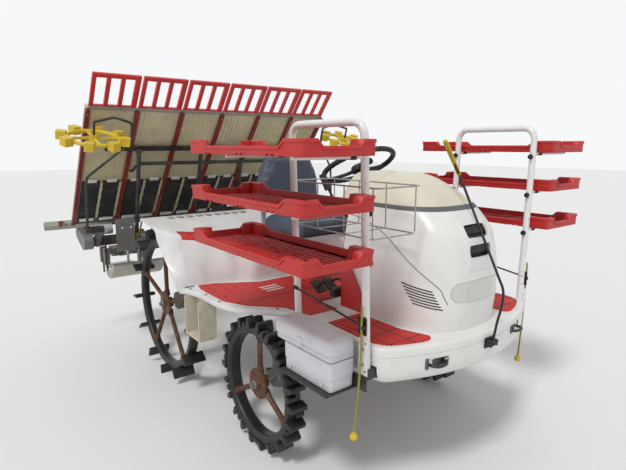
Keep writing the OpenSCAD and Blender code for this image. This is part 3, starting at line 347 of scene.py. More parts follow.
@dataclass(frozen=True)
class SlipMat(Finish):
    """Rubber mat: dark studs and dashes on the deck, square tiles on the front step."""

    stud: float = 0.062
    tile: float = 0.1
    step_x: float = 0.93
    # Middle and half width of the deck's band of dashes
    band_x: float = 0.6
    band_half: float = 0.11

    def cells(self, nodes: Nodes, pitch: float, distance: str, stretch: Point = (1, 1, 1)) -> Socket:
        """Return the distance from the middles of a square grid, in cells.

        Args:
            nodes: Material that is built.
            pitch: Size of a cell in metres.
            distance: Blender's name of the distance.
            stretch: Scale along each axis.

        Returns:
            The distance's socket.
        """
        place = nodes.add("ShaderNodeMapping")
        place.inputs["Scale"].default_value = stretch
        nodes.link(nodes.coordinates, place.inputs["Vector"])
        grid = nodes.add("ShaderNodeTexVoronoi", voronoi_dimensions="2D", feature="F1", distance=distance)
        grid.inputs["Scale"].default_value = 1 / pitch
        grid.inputs["Randomness"].default_value = 0.0
        nodes.link(place.outputs["Vector"], grid.inputs["Vector"])
        return grid.outputs["Distance"]

    def build(self) -> Nodes:
        """Add the studs, the dashes and the seams to the plain finish.

        Returns:
            The finished nodes.
        """
        nodes = super().build()
        split = nodes.add("ShaderNodeSeparateXYZ")
        nodes.link(nodes.coordinates, split.inputs["Vector"])
        step = nodes.ramp(split.outputs["X"], self.step_x - 0.001, self.step_x)
        deck = nodes.maths("SUBTRACT", 1.0, step)
        studs = nodes.ramp(self.cells(nodes, self.stud, "EUCLIDEAN"), 0.115, 0.095)
        dashes = nodes.ramp(self.cells(nodes, self.stud, "CHEBYCHEV", (0.25, 3.0, 1)), 0.12, 0.1)
        off = nodes.maths("ABSOLUTE", nodes.maths("SUBTRACT", split.outputs["X"], self.band_x), 0.0)
        band = nodes.ramp(off, self.band_half + 0.002, self.band_half - 0.002)
        marks = nodes.maths("MAXIMUM", nodes.maths("MULTIPLY", studs, nodes.maths("SUBTRACT", 1.0, band)),
                            nodes.maths("MULTIPLY", dashes, band))
        seams = nodes.ramp(self.cells(nodes, self.tile, "CHEBYCHEV"), 0.47, 0.48)
        marks = nodes.maths("MAXIMUM", nodes.maths("MULTIPLY", marks, deck),
                            nodes.maths("MULTIPLY", seams, step))
        old = nodes.shader.inputs["Base Color"].links[0].from_socket
        nodes.link(nodes.mix(marks, old, linear(74, 14, 16)), nodes.shader.inputs["Base Color"])
        nodes.bump(nodes.maths("SUBTRACT", 1.0, marks), 0.002)
        return nodes


@dataclass(frozen=True)
class RibbedBelt(Finish):
    """Black feed belt with cross ribs down the table's slope."""

    pitch: float = 0.016
    slope: float = 50.6

    def build(self) -> Nodes:
        """Add the cross ribs to the plain finish.

        Returns:
            The finished nodes.
        """
        nodes = super().build()
        mapping = nodes.add("ShaderNodeMapping")
        mapping.inputs["Rotation"].default_value = (0, math.radians(self.slope), 0)
        nodes.link(nodes.coordinates, mapping.inputs["Vector"])
        waves = nodes.add("ShaderNodeTexWave", wave_type="BANDS", bands_direction="X")
        waves.inputs["Scale"].default_value = 0.314 / self.pitch
        nodes.link(mapping.outputs["Vector"], waves.inputs["Vector"])
        nodes.bump(waves.outputs["Fac"], 0.003)
        return nodes


PANEL_WHITE = Finish("panel_white", (229, 229, 226), 0.32, coat=0.35, grain=Grain.PAINT, shade=0.05,
                     grime=0.1)
DECK_WHITE = Finish("deck_white", (222, 223, 222), 0.42, coat=0.15, grain=Grain.PAINT, shade=0.06, grime=0.22)
COWL_CREAM = Finish("cowl_cream", (217, 212, 190), 0.45, coat=0.1, shade=0.07, grime=0.12)
TABLE_CREAM = Finish("table_cream", (205, 196, 160), 0.5, shade=0.12, grime=0.28, grime_colour=(128, 112, 84))
RACK_WHITE = Finish("rack_white", (233, 233, 232), 0.35, coat=0.2, grain=Grain.PAINT, wear=Wear.RUST,
                    shade=0.04, grime=0.1)
TRAY_RED = Finish("tray_red", (196, 38, 36), 0.48, shade=0.16, grime=0.16, grime_colour=(150, 96, 80))
PANEL_RED = Finish("panel_red", (200, 30, 32), 0.38, coat=0.15, shade=0.14, grime=0.1,
                   grime_colour=(150, 90, 78))
MAT_RED = SlipMat("mat_red", (196, 40, 38), 0.6, grain=Grain.RUBBER, shade=0.16, grime=0.28,
                  grime_colour=(150, 100, 82))
DIVIDER_RED = Finish("divider_red", (132, 22, 26), 0.42, grain=Grain.PAINT, wear=Wear.CHIPS, shade=0.2,
                     grime=0.18)
FRAME_BLACK = Finish("frame_black", (34, 34, 36), 0.45, coat=0.1, grain=Grain.PAINT, wear=Wear.CHIPS,
                     grime=0.35)
TRIM_BLACK = Finish("trim_black", (26, 26, 28), 0.55, shade=0.2, grime=0.2)
CAST_GREY = Finish("cast_grey", (132, 134, 134), 0.55, metallic=0.6, grain=Grain.CAST, wear=Wear.DUST,
                   grime=0.5)
ENGINE_GREY = Finish("engine_grey", (84, 88, 92), 0.55, grain=Grain.CAST, grime=0.5)
LENS = Finish("lamp_lens", (206, 208, 200), 0.08, coat=1.0, grain=Grain.NONE, wear=Wear.CLEAN, shade=0.04)
PAN_GREY = Finish("seat_pan_grey", (196, 197, 198), 0.4, grain=Grain.PAINT, wear=Wear.CHIPS, shade=0.06,
                  grime=0.2)
SEAT_VINYL = Finish("seat_vinyl", (66, 76, 92), 0.52, grain=Grain.VINYL, wear=Wear.DUST, shade=0.2,
                    grime=0.12)
WIRE_GREY = Finish("wire_grey", (168, 170, 170), 0.38, metallic=0.8, grain=Grain.NONE, wear=Wear.RUST,
                   grime=0.15)
BOX_GREY = Finish("box_grey", (208, 211, 216), 0.4, coat=0.15, shade=0.06, grime=0.2)
ROD_OLIVE = Finish("rod_olive", (150, 142, 52), 0.5, grain=Grain.PAINT, wear=Wear.CHIPS, grime=0.25)
WHEEL_BLACK = Finish("wheel_black", (38, 36, 35), 0.5, grain=Grain.RUST, wear=Wear.RUST, shade=0.25,
                     grime=0.45)
CHROME = Finish("rod_chrome", (205, 206, 208), 0.16, metallic=1.0, grain=Grain.NONE, wear=Wear.CLEAN,
                shade=0.05)
FLOAT_WHITE = Finish("float_white", (206, 204, 192), 0.6, shade=0.12, grime=0.6)
RAIL_STEEL = RustedSteel("rail_steel", (158, 156, 150), 0.42, metallic=0.75, grain=Grain.RUST, grime=0.3,
                         rust_share=0.2)
BELT_BLACK = RibbedBelt("belt_black", (30, 30, 32), 0.6, grain=Grain.RUBBER, shade=0.25, grime=0.3)
TRIM_GREY = Finish("trim_grey", (88, 90, 94), 0.5, shade=0.12, grime=0.2)
# Light grey of the painted flap shadows on the platform
SHADOW_GREY = Finish("painted_shadow_grey", (170, 172, 178), 0.6, grain=Grain.RUBBER, shade=0.1, grime=0.3)
REFLECTOR = Finish("lamp_reflector", (186, 186, 172), 0.22, metallic=0.75, grain=Grain.NONE,
                   wear=Wear.CLEAN, shade=0.08)
WHEEL_RUBBER = Finish("wheel_rubber", (24, 24, 25), 0.42, grain=Grain.RUBBER, shade=0.2, grime=0.12,
                      grime_colour=(70, 64, 58))
RUSTY = RustedSteel("rusted_steel", (112, 104, 96), 0.68, metallic=0.35, grain=Grain.RUST, grime=0.25,
                    rust_share=1.0)
STEP_CREAM = Finish("step_cream", (214, 208, 186), 0.45, grain=Grain.PAINT, wear=Wear.RUST, shade=0.06,
                    grime=0.3)
TRIM_STRIP = Finish("trim_strip", (150, 146, 138), 0.5, shade=0.15, grime=0.3)
CASE_LIGHT = Finish("case_light", (204, 206, 206), 0.45, metallic=0.2, grain=Grain.CAST, grime=0.35)
BRONZE = Finish("lever_bronze", (150, 116, 72), 0.45, metallic=0.7, grain=Grain.CAST, grime=0.3)
MARKER_YELLOW = Finish("marker_yellow", (222, 190, 40), 0.42, shade=0.14, grime=0.2,
                       grime_colour=(140, 110, 60))

# The CAD nodes of each finish
FINISHED_NODES: tuple[tuple[Finish, str], ...] = (
    (FRAME_BLACK, "link_lugs chassis_frame tie_rod lower_links top_link lift_barrel planting_frame "
                  "marker_arm_left marker_arm_right"),
    (ENGINE_GREY, "engine_block"),
    (CAST_GREY, "transmission_case front_axle rear_axle knuckle_left knuckle_right planting_cases "
                "planting_rotors"),
    (PANEL_WHITE, "bonnet front_apron"),
    (TRIM_BLACK, "bonnet_grilles steering_column driver_controls steering_wheel centre_marker"),
    (LENS, "headlight"),
    (COWL_CREAM, "dash_cowl"),
    (DECK_WHITE, "deck fender"),
    (MAT_RED, "deck_mats"),
    (STEP_CREAM, "foot_steps"),
    (PANEL_RED, "side_panels table_extensions"),
    (PAN_GREY, "seat_base"),
    (SEAT_VINYL, "seat_cushion seat_back"),
    (RACK_WHITE, "rack_frames"),
    (TRAY_RED, "rack_trays"),
    (WIRE_GREY, "wire_basket"),
    (BOX_GREY, "tool_box"),
    (ROD_OLIVE, "side_markers"),
    (WHEEL_BLACK, "front_wheel_left front_wheel_right rear_wheel_left rear_wheel_right"),
    (CHROME, "lift_rod"),
    (FLOAT_WHITE, "floats"),
    (RAIL_STEEL, "guide_rail"),
    (TABLE_CREAM, "table_panels"),
    (DIVIDER_RED, "table_dividers"),
    (BELT_BLACK, "feed_belts"),
    (MARKER_YELLOW, "marker_wheel_left marker_wheel_right"),
)
NODE_FINISH = {node: finish for finish, nodes in FINISHED_NODES for node in nodes.split()}


class Shape:
    """A mesh under construction, made with bmesh operators."""

    def __init__(self) -> None:
        """Start with nothing."""
        self.bm = bmesh.new()

    def block(self, low: Point, high: Point, round_by: float = 0.0, steps: int = 2) -> list:
        """Add a block between two corners with rounded edges.

        Args:
            low: Lowest corner.
            high: Highest corner.
            round_by: Radius of the edges.
            steps: Segments of each edge.

        Returns:
            The block's vertices.
        """
        low, high = Vector(low), Vector(high)
        place = Matrix.Translation((low + high) / 2) @ Matrix.Diagonal((*(high - low), 1))
        verts = bmesh.ops.create_cube(self.bm, size=1, matrix=place)["verts"]
        return self.soften(verts, round_by, steps) if round_by else verts

    def soften(self, verts: list, offset: float, steps: int) -> list:
        """Round the edges between vertices, and return the new vertices.

        Args:
            verts: Vertices whose edges are rounded.
            offset: Width of the bevel.
            steps: Faces across it.

        Returns:
            The vertices after the bevel.
        """
        edges = list(dict.fromkeys(e for v in verts for e in v.link_edges))
        made = bmesh.ops.bevel(self.bm, geom=edges, offset=offset, offset_type="OFFSET", segments=steps,
                               profile=0.5, affect="EDGES", material=-1)
        near = [v for f in made["faces"] for v in f.verts] + [v for v in verts if v.is_valid]
        return list(dict.fromkeys(near))

    def move(self, matrix: Matrix, verts: Iterable | None = None) -> None:
        """Turn and place some of the vertices, or all of them."""
        bmesh.ops.transform(self.bm, matrix=matrix, verts=self.bm.verts if verts is None else list(verts))

    def turned(self, line: Sequence[Point], steps: int, closed: bool = False) -> None:
        """Spin a line of points, or a closed outline, once round the Z axis.

        Args:
            line: Points in the plane y = 0.
            steps: Faces round the circle.
            closed: Whether the line is an outline.
        """
        verts = [self.bm.verts.new(p) for p in line]
        spans = zip(verts, verts[1:] + verts[:1] if closed else verts[1:])
        edges = [self.bm.edges.new(pair) for pair in spans]
        self.spin(verts + edges, steps)

    def spin(self, geometry: list, steps: int) -> None:
        """Spin vertices and edges once round the Z axis."""
        bmesh.ops.spin(self.bm, geom=geometry, cent=(0, 0, 0), axis=(0, 0, 1), angle=math.tau, steps=steps,
                       use_merge=True)

    def rod(self, start: Point, end: Point, radius: float, sides: int = 16,
            end_radius: float | None = None) -> list:
        """Add a closed rod or cone between two points.

        Args:
            start: Middle of the first end.
            end: Middle of the last end.
            radius: Radius at the start.
            sides: Faces round it.
            end_radius: Radius at the end, if it differs.

        Returns:
            The rod's vertices.
        """
        start, end = Vector(start), Vector(end)
        turn = (end - start).to_track_quat("Z", "Y").to_matrix().to_4x4()
        place = Matrix.Translation((start + end) / 2) @ turn
        return bmesh.ops.create_cone(self.bm, cap_ends=True, segments=sides, radius1=radius,
                                     radius2=radius if end_radius is None else end_radius,
                                     depth=(end - start).length, matrix=place)["verts"]

    def sweep(self, points: Sequence[Point], radius: float, sides: int = 10) -> None:
        """Carry a ring along a line of points, and close its ends.

        Args:
            points: Points of the middle line.
            radius: Radius of the tube.
            sides: Faces round it.
        """
        line = [Vector(p) for p in points]
        headings = [(b - a).normalized() for a, b in zip(line, line[1:])]
        turn = headings[0].to_track_quat("Z", "Y").to_matrix().to_4x4()
        ring = bmesh.ops.create_circle(self.bm, cap_ends=False, segments=sides, radius=radius,
                                       matrix=Matrix.Translation(line[0]) @ turn)["verts"]
        edges = list(dict.fromkeys(e for v in ring for e in v.link_edges))
        bmesh.ops.contextual_create(self.bm, geom=edges)
        was = headings[0]
        for i, point in enumerate(line[1:], 1):
            now = (headings[i - 1] + headings[i]).normalized() if i < len(headings) else headings[-1]
            made = bmesh.ops.extrude_edge_only(self.bm, edges=edges)["geom"]
            ring = [g for g in made if isinstance(g, bmesh.types.BMVert)]
            edges = [g for g in made if isinstance(g, bmesh.types.BMEdge)]
            bmesh.ops.translate(self.bm, verts=ring, vec=point - line[i - 1])
            bend = was.rotation_difference(now).to_matrix()
            bmesh.ops.rotate(self.bm, verts=ring, cent=point, matrix=bend)
            was = now
        bmesh.ops.contextual_create(self.bm, geom=edges)

    def sheet(self, rings: Sequence[Sequence[Vector]]) -> None:
        """Add a skin through rings that have the same number of points.

        Args:
            rings: Rings of points. A closed ring ends with its first point.
        """
        across, down = len(rings[0]) - 1, len(rings) - 1
        old = set(self.bm.verts)
        bmesh.ops.create_grid(self.bm, x_segments=across, y_segments=down, size=1)
        mine = [v for v in self.bm.verts if v not in old]
        for vert in mine:
            i, j = round((vert.co.x + 1) / 2 * across), round((vert.co.y + 1) / 2 * down)
            vert.co = rings[j][i]
        bmesh.ops.remove_doubles(self.bm, verts=mine, dist=1e-6)

    def layers(self, flat: Sequence[Pair], steps: Sequence[Pair]) -> None:
        """Add a wall through an outline's insets, from their depths and heights."""
        rings = [[at(x, y, z) for x, y in inset(flat, depth)] for depth, z in steps]
        self.sheet([ring + [ring[0].copy()] for ring in rings])

    def cap(self) -> None:
        """Close every open rim with one face."""
        rims = [e for e in self.bm.edges if e.is_boundary]
        bmesh.ops.holes_fill(self.bm, edges=rims, sides=0)

    def thing(self, name: str) -> bpy.types.Object:
        """Turn the mesh into an object of the scene, and let go of it.

        Args:
            name: Name of the object.

        Returns:
            The new object.
        """
        mesh = bpy.data.meshes.new(name)
        self.bm.to_mesh(mesh)
        self.bm.free()
        made = bpy.data.objects.new(name, mesh)
        bpy.context.scene.collection.objects.link(made)
        return made

    def piece(self, name: str, finish: Finish, body: str, slot: str, replaced: Iterable[str] = (),
              smooth: float = 40.0) -> bpy.types.Object:
        """Turn the mesh into a piece that rides on a body.

        Args:
            name: The piece's name.
            finish: Its finish.
            body: The CAD body that it moves with.
            slot: Name of a material slot; not used.
            replaced: CAD nodes that it stands for.
            smooth: Largest angle between faces that are shaded as one, in degrees.

        Returns:
            The new object.
        """
        bmesh.ops.remove_doubles(self.bm, verts=self.bm.verts, dist=1e-6)
        bmesh.ops.recalc_face_normals(self.bm, faces=self.bm.faces)
        made = self.thing(name)
        made.data.materials.append(finish.material())
        shade(made, smooth)
        return settle(made, body, replaced)


def settle(made: bpy.types.Object, body: str, replaced: Iterable[str] = ()) -> bpy.types.Object:
    """Let a finished piece ride on its body, and report it.

    Args:
        made: The piece.
        body: The CAD body that it moves with.
        replaced: CAD nodes that it stands for.

    Returns:
        The same piece.
    """
    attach(made, body)
    nodes = list(replaced)
    if nodes:
        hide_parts(*nodes)
    log.info("%s rides on %s, %d faces", made.name, body, len(made.data.polygons))
    return made


@dataclass
class Seat:
    """The driver's padded seat: a cushion and a tall back."""

    width: float = 0.49
    front_x: float = -0.165
    back_x: float = -0.57
    cushion_z: Pair = (0.9535, 1.05)
    back_z: Pair = (1.056, 1.42)
    back_depth: float = 0.0925
    swell: float = 0.014

    def pad(self, name: str, low: Vector, high: Vector, edge: float, taper: float) -> bpy.types.Object:
        """Make a rounded pad ready for its stuffing.

        Args:
            name: The pad's name.
            low: Lowest corner.
            high: Highest corner.
            edge: Radius of its edges.
            taper: Share by which its top or front narrows.

        Returns:
            The pad.
        """
        shape = Shape()
        shape.block(low, high, edge, 4)
        bmesh.ops.subdivide_edges(shape.bm, edges=shape.bm.edges, cuts=3, use_grid_fill=True)
        middle = (low + high) / 2
        for vert in shape.bm.verts:
            share = (vert.co.z - low.z) / (high.z - low.z)
            if high.z - low.z > 0.2:
                vert.co.y = middle.y + (vert.co.y - middle.y) * (1 - taper * max(0.0, share - 0.45) ** 1.5)
            else:
                ahead = (vert.co.x - low.x) / (high.x - low.x)
                vert.co.y = middle.y + (vert.co.y - middle.y) * (1 - taper * max(0.0, ahead - 0.5) ** 2)
        return shape.thing(name)

    def stuff(self, pad: bpy.types.Object) -> None:
        """Swell a pad with a short cloth run, and keep each point near its place.

        Args:
            pad: The pad to swell.
        """
        bpy.context.view_layer.objects.active = pad
        remesh = pad.modifiers.new("Skin", "REMESH")
        remesh.mode = "VOXEL"
        remesh.voxel_size = 0.008
        bake(pad)
        before = [v.co.copy() for v in pad.data.vertices]
        cloth = pad.modifiers.new("Cover", "CLOTH")
        cloth.settings.use_pressure = True
        cloth.settings.uniform_pressure_force = 4.0
        cloth.settings.effector_weights.gravity = 0.0
        cloth.settings.quality = 5
        scene = bpy.context.scene
        for number in range(1, 17):
            scene.frame_set(number)
        bake(pad)
        scene.frame_set(1)
        for vert, start in zip(pad.data.vertices, before):
            moved = vert.co - start
            if moved.length > self.swell:
                vert.co = start + moved.normalized() * self.swell

    def finish(self, pad: bpy.types.Object, node: str) -> None:
        """Smooth, cover and declare a pad.

        Args:
            pad: The pad.
            node: The CAD node that it stands for.
        """
        pad.data.materials.clear()
        pad.data.materials.append(SEAT_VINYL.material())
        pad.data.shade_smooth()
        settle(pad, "chassis", [node])

    def build(self) -> None:
        """Make the cushion and the back."""
        inset = 0.012
        half = self.width / 2 - inset
        cushion = self.pad("seat_cushion_pad", at(self.back_x + 0.004, -half, self.cushion_z[0] + 0.001),
                           at(self.front_x - inset, half, self.cushion_z[1] - inset), 0.034, 0.35)
        self.stuff(cushion)
        self.finish(cushion, "seat_cushion")
        back = self.pad("seat_back_pad", at(self.back_x - self.back_depth, -half, self.back_z[0] + 0.004),
                        at(self.back_x - 0.01, half, self.back_z[1] - inset), 0.034, 0.9)
        self.stuff(back)
        self.finish(back, "seat_back")


def bake(piece: bpy.types.Object) -> None:
    """Apply a piece's modifiers to its mesh.

    Args:
        piece: The piece.
    """
    evaluated = piece.evaluated_get(bpy.context.evaluated_depsgraph_get())
    mesh = bpy.data.meshes.new_from_object(evaluated)
    piece.modifiers.clear()
    old = piece.data
    piece.data = mesh
    bpy.data.meshes.remove(old)
    mesh.name = piece.name


def carve(piece: bpy.types.Object, cutter: Shape) -> None:
    """Cut a shape out of a piece.

    Args:
        piece: The piece.
        cutter: Closed shapes to take away.
    """
    bmesh.ops.recalc_face_normals(cutter.bm, faces=cutter.bm.faces)
    tool = cutter.thing("cutter")
    mesh = tool.data
    cut = piece.modifiers.new("Cut", "BOOLEAN")
    cut.operation = "DIFFERENCE"
    cut.solver = "EXACT"
    cut.object = tool
    bake(piece)
    bpy.data.objects.remove(tool)
    bpy.data.meshes.remove(mesh)


def thicken(piece: bpy.types.Object, depth: float) -> None:
    """Give an open skin its thickness, inwards.

    Args:
        piece: The skin.
        depth: Its thickness.
    """
    solid = piece.modifiers.new("Thickness", "SOLIDIFY")
    solid.thickness = depth
    solid.offset = -1.0
    bake(piece)


def shade(piece: bpy.types.Object, angle: float) -> None:
    """Shade a piece smooth up to an angle in degrees."""
    piece.data.shade_smooth()
    piece.data.set_sharp_from_angle(angle=math.radians(angle))


def smooth_line(points: Sequence[Point], steps: int) -> list[Vector]:
    """Return a smooth line through points.

    Args:
        points: Points that the line passes.
        steps: Parts of each span.

    Returns:
        Points along the line.
    """
    line = [Vector(p) for p in points]
    made = []
    for i in range(len(line) - 1):
        a, b = line[i], line[i + 1]
        before, after = line[max(i - 1, 0)], line[min(i + 2, len(line) - 1)]
        for k in range(steps):
            t = k / steps
            made.append(0.5 * (2 * a + (b - before) * t + (2 * before - 5 * a + 4 * b - after) * t * t
                               + (3 * a - before - 3 * b + after) * t ** 3))
    return made + [line[-1].copy()]


@dataclass(frozen=True)
class NoseSkin:
    """The smooth form that the bonnet, the cowl, the lamp and the grilles share.

    Each row is a height with its nose reach, half width and length of the rounded front.
    """

    rows: tuple[tuple[float, float, float, float], ...] = (
        (0.7003, 0.763, 0.265, 0.3), (0.816, 0.775, 0.262, 0.29), (0.95, 0.771, 0.257, 0.27),
        (1.087, 0.745, 0.235, 0.24), (1.15, 0.697, 0.22, 0.21), (1.19, 0.655, 0.207, 0.19),
        (1.225, 0.605, 0.189, 0.165), (1.28, 0.51, 0.15, 0.12), (1.311, 0.44, 0.115, 0.09),
        (1.323, 0.4, 0.08, 0.07))
    # Parts of the rounded front and of each straight side
    arc: int = 44
    flank: int = 5

    def slope(self, i: int, k: int) -> float:
        """Return how fast value k of row i changes with height."""
        low, high = self.rows[max(i - 1, 0)], self.rows[min(i + 1, len(self.rows) - 1)]
        return (high[k] - low[k]) / (high[0] - low[0])

    def row(self, z: float) -> list[float]:
        """Return the nose reach, half width and rounded length at a height.

        Args:
            z: Height.

        Returns:
            The three values.
        """
        i = max(0, min(len(self.rows) - 2, sum(r[0] <= z for r in self.rows) - 1))
        a, b = self.rows[i], self.rows[i + 1]
        span = b[0] - a[0]
        t = (z - a[0]) / span
        return [(2 * t ** 3 - 3 * t ** 2 + 1) * a[k] + (t ** 3 - 2 * t ** 2 + t) * self.slope(i, k) * span
                + (3 * t ** 2 - 2 * t ** 3) * b[k] + (t ** 3 - t ** 2) * self.slope(i + 1, k) * span
                for k in (1, 2, 3)]

    def side(self, x: float, z: float) -> float:
        """Return the half width at a point of the side.

        Args:
            x: Place along the machine.
            z: Height.

        Returns:
            The half width in metres.
        """
        reach, half, length = self.row(z)
        if x <= reach - length:
            return half
        share = min(1.0, (x - reach + length) / length) ** (4 / 3)
        return half * (1 - share * share) ** 0.375

    def front(self, y: float, z: float) -> float:
        """Return the reach ahead at a point of the front."""
        reach, half, length = self.row(z)
        share = min(1.0, abs(y) / half) ** (4 / 3)
        return reach - length + length * (1 - share * share) ** 0.375

    def ring(self, z: float, back: float, out: float = 0.0) -> list[Vector]:
        """Return the outline at a height, from the right rear round the nose to the left rear.

        Args:
            z: Height.
            back: Where the sides end.
            out: Distance outside the skin.

        Returns:
            Points of the outline.
        """
        reach, half, length = self.row(z)
        start = reach - length
        half, reach = half + out, reach + out
        right = [at(back + (start - back) * k / self.flank, -half, z) for k in range(self.flank)]
        bend = []
        for k in range(self.arc + 1):
            a = math.radians(-90 + 180 * k / self.arc)
            wide = math.copysign(abs(math.sin(a)) ** 0.75, math.sin(a))
            bend.append(at(start + (reach - start) * max(0.0, math.cos(a)) ** 0.75, half * wide, z))
        left = [Vector((p.x, -p.y, p.z)) for p in reversed(right)]
        return right + bend + left


SKIN = NoseSkin()


@dataclass
class Bonnet:
    """The white bonnet with its lamp, intakes, side louvres and seams."""

    thick: float = 0.005
    back: float = 0.2
    lamp_z: Pair = (0.818, 0.909)
    lamp_half: float = 0.16
    # Distance of each bulb from the middle, and its height
    bulb: Pair = (0.078, 0.863)
    intake_half: float = 0.072
    intake_z: Pair = (1.0, 1.078)
    intake_h: float = 0.052
    panel_z: Pair = (0.94, 1.162)
    panel_half: float = 0.098
    # The louvres of a side: number, length of the first, and the tilt in degrees
    louvres: int = 7
    louvre_l: float = 0.132
    louvre_tilt: float = 9.5

    def patch(self, shape: Shape, low: float, high: float, half: float, out: float, round_by: float,
              crown: float = 0.0, cells: int = 28) -> None:
        """Add a skin patch on the nose's front with rounded corners.

        Args:
            shape: Where it goes.
            low: Lowest height.
            high: Highest height.
            half: Half of its width.
            out: Distance outside the bonnet.
            round_by: How round its corners are, from 0 to 1.
            crown: How far its middle rises over its edge.
            cells: Cells along each side.
        """
        old = set(shape.bm.verts)
        bmesh.ops.create_grid(shape.bm, x_segments=cells, y_segments=cells, size=1)
        mine = [v for v in shape.bm.verts if v not in old]
        for vert in mine:
            u, v = vert.co.x, vert.co.y
            rim = max(abs(u), abs(v))
            y, z = self.spread(u, v, low, high, half, round_by)
            vert.co = at(SKIN.front(y, z) + out + crown * (1 - rim ** 10), y, z)

    def spread(self, u: float, v: float, low: float, high: float, half: float, round_by: float) -> Pair:
        """Return side and height of a point given from -1 to 1 on a patch with rounded corners."""
        y = half * u * math.sqrt(1 - round_by * v * v / 2)
        return y, (low + high) / 2 + (high - low) / 2 * v * math.sqrt(1 - round_by * u * u / 2)

    def plug(self, low: float, high: float, half: float, round_by: float) -> Shape:
        """Return a cutter along the nose with the patch's outline.

        Args:
            low: Patch's lowest height.
            high: Patch's highest height.
            half: Patch's half width.
            round_by: Share of rounding at its corners.

        Returns:
            The closed cutter.
        """
        flat = []
        for k in range(96):
            side, step = divmod(k, 24)
            t = step / 12 - 1
            u, v = ((1, t), (-t, 1), (-1, -t), (t, -1))[side]
            flat.append(self.spread(u, v, low, high, half, round_by))
        shape = Shape()
        shape.sheet([[at(x, y, z) for y, z in flat + flat[:1]] for x in (0.6, 0.82)])
        shape.cap()
        return shape

    def slots(self, side: int) -> Shape:
        """Return the cutter of one side's slanted louvres.

        Args:
            side: 1 for the left, -1 for the right.

        Returns:
            The cutter's blocks.
        """
        shape = Shape()
        tilt = Matrix.Rotation(math.radians(self.louvre_tilt), 3, "Y")
        middle = side * 0.22
        for i in range(self.louvres):
            x, z = 0.566 + 0.009 * i, 0.894 - 0.013 * i
            end = x + self.louvre_l - 0.004 * i
            verts = shape.block(at(x, middle - 0.08, z - 0.0065), at(end, middle + 0.08, z + 0.0005))
            bmesh.ops.rotate(shape.bm, verts=verts, cent=at(x, 0, z), matrix=tilt)
        return shape

    def shell(self) -> None:
        """Make the bonnet's skin with its openings."""
        shape = Shape()
        foot = STEP_TOP + SEAT_GAP
        heights = [foot + (1.19 - foot) * k / 40 for k in range(41)]
        shape.sheet([SKIN.ring(z, self.back) for z in heights])
        made = shape.piece("bonnet_shell", PANEL_WHITE, "chassis", "white_panel", ["bonnet"])
        thicken(made, self.thick)
        carve(made, self.plug(*self.lamp_z, self.lamp_half, 0.55))
        for z in self.intake_z:
            carve(made, self.plug(z, z + self.intake_h, self.intake_half, 0.3))
        for side in SIDES:
            carve(made, self.slots(side))
        shade(made, 35)

    def centre_panel(self) -> None:
        """Make the raised panel round the intakes."""
        shape = Shape()
        self.patch(shape, *self.panel_z, self.panel_half, -0.0012, 0.25, 0.0062, 40)
        made = shape.piece("intake_panel", PANEL_WHITE, "chassis", "white_panel")
        thicken(made, 0.004)
        for z in self.intake_z:
            carve(made, self.plug(z, z + self.intake_h, self.intake_half, 0.3))
        shade(made, 50)
        mesh = Shape()
        top = self.intake_z[1] + self.intake_h + 0.01
        self.patch(mesh, self.intake_z[0] - 0.012, top, self.intake_half + 0.012, -0.022, 0.2)
        for z in self.intake_z:
            for k in range(5):
                low = z + 0.006 + 0.01 * k
                back = SKIN.front(0.0, low) - 0.022
                corner = at(back + 0.008, self.intake_half, low + 0.003)
                mesh.block(at(back, -self.intake_half, low), corner, 0.001, 1)
        mesh.piece("intake_mesh", TRIM_BLACK, "chassis", "black_plastic")

    def lamp(self) -> None:
        """Make the lamp: bright bowl, two reflectors and a clear cover."""
        shape = Shape()
        low, high = self.lamp_z[0] + 0.001, self.lamp_z[1] - 0.001
        self.patch(shape, low, high, self.lamp_half - 0.001, 0.0006, 0.55)
        cover = shape.piece("lamp_cover", LENS, "chassis", "lamp_lens", ["headlight"])
        thicken(cover, 0.0025)
        shade(cover, 60)
        bowl = Shape()
        self.patch(bowl, low, high, self.lamp_half - 0.001, -0.004, 0.55)
        for vert in bowl.bm.verts:
            y = vert.co.y
            z = (vert.co.z - sum(self.lamp_z) / 2) / (self.lamp_z[1] - self.lamp_z[0]) * 2
            rim = max(abs(y) / self.lamp_half, abs(z))
            cup = min(math.hypot((abs(y) - self.bulb[0]) / 0.062, z * 0.8), 1.0)
            vert.co.x -= 0.012 * (1 - min(1.0, rim) ** 8) + 0.022 * (1 - cup * cup)
        back = bowl.piece("lamp_bowl", REFLECTOR, "chassis", "lamp_lens")
        thicken(back, 0.002)
        bulbs = Shape()
        out, z = self.bulb
        x = SKIN.front(out, z)
        for side in SIDES:
            bulbs.rod(at(x - 0.04, side * out, z), at(x - 0.018, side * out, z), 0.009, 16, 0.006)
        bulbs.piece("lamp_bulbs", CHROME, "chassis", "lamp_lens")

    def seams(self) -> None:
        """Make the dark joint lines of both sides and round the lamp."""
        shape = Shape()
        line = [(0.205, 1.135), (0.32, 1.118), (0.45, 1.072), (0.57, 0.998), (0.66, 0.935),
                (0.714, 0.886), (0.727, 0.854), (0.738, 0.818)]
        for side in SIDES:
            route = smooth_line([(x, z, 0) for x, z in line], 6)
            shape.sweep([at(p.x, side * (SKIN.side(p.x, p.y) - 0.0002), p.y) for p in route], 0.0016, 6)
        shape.piece("bonnet_seams", TRIM_BLACK, "chassis", "black_plastic")

    def build(self) -> None:
        """Make every piece of the bonnet."""
        self.shell()
        self.centre_panel()
        self.lamp()
        self.seams()


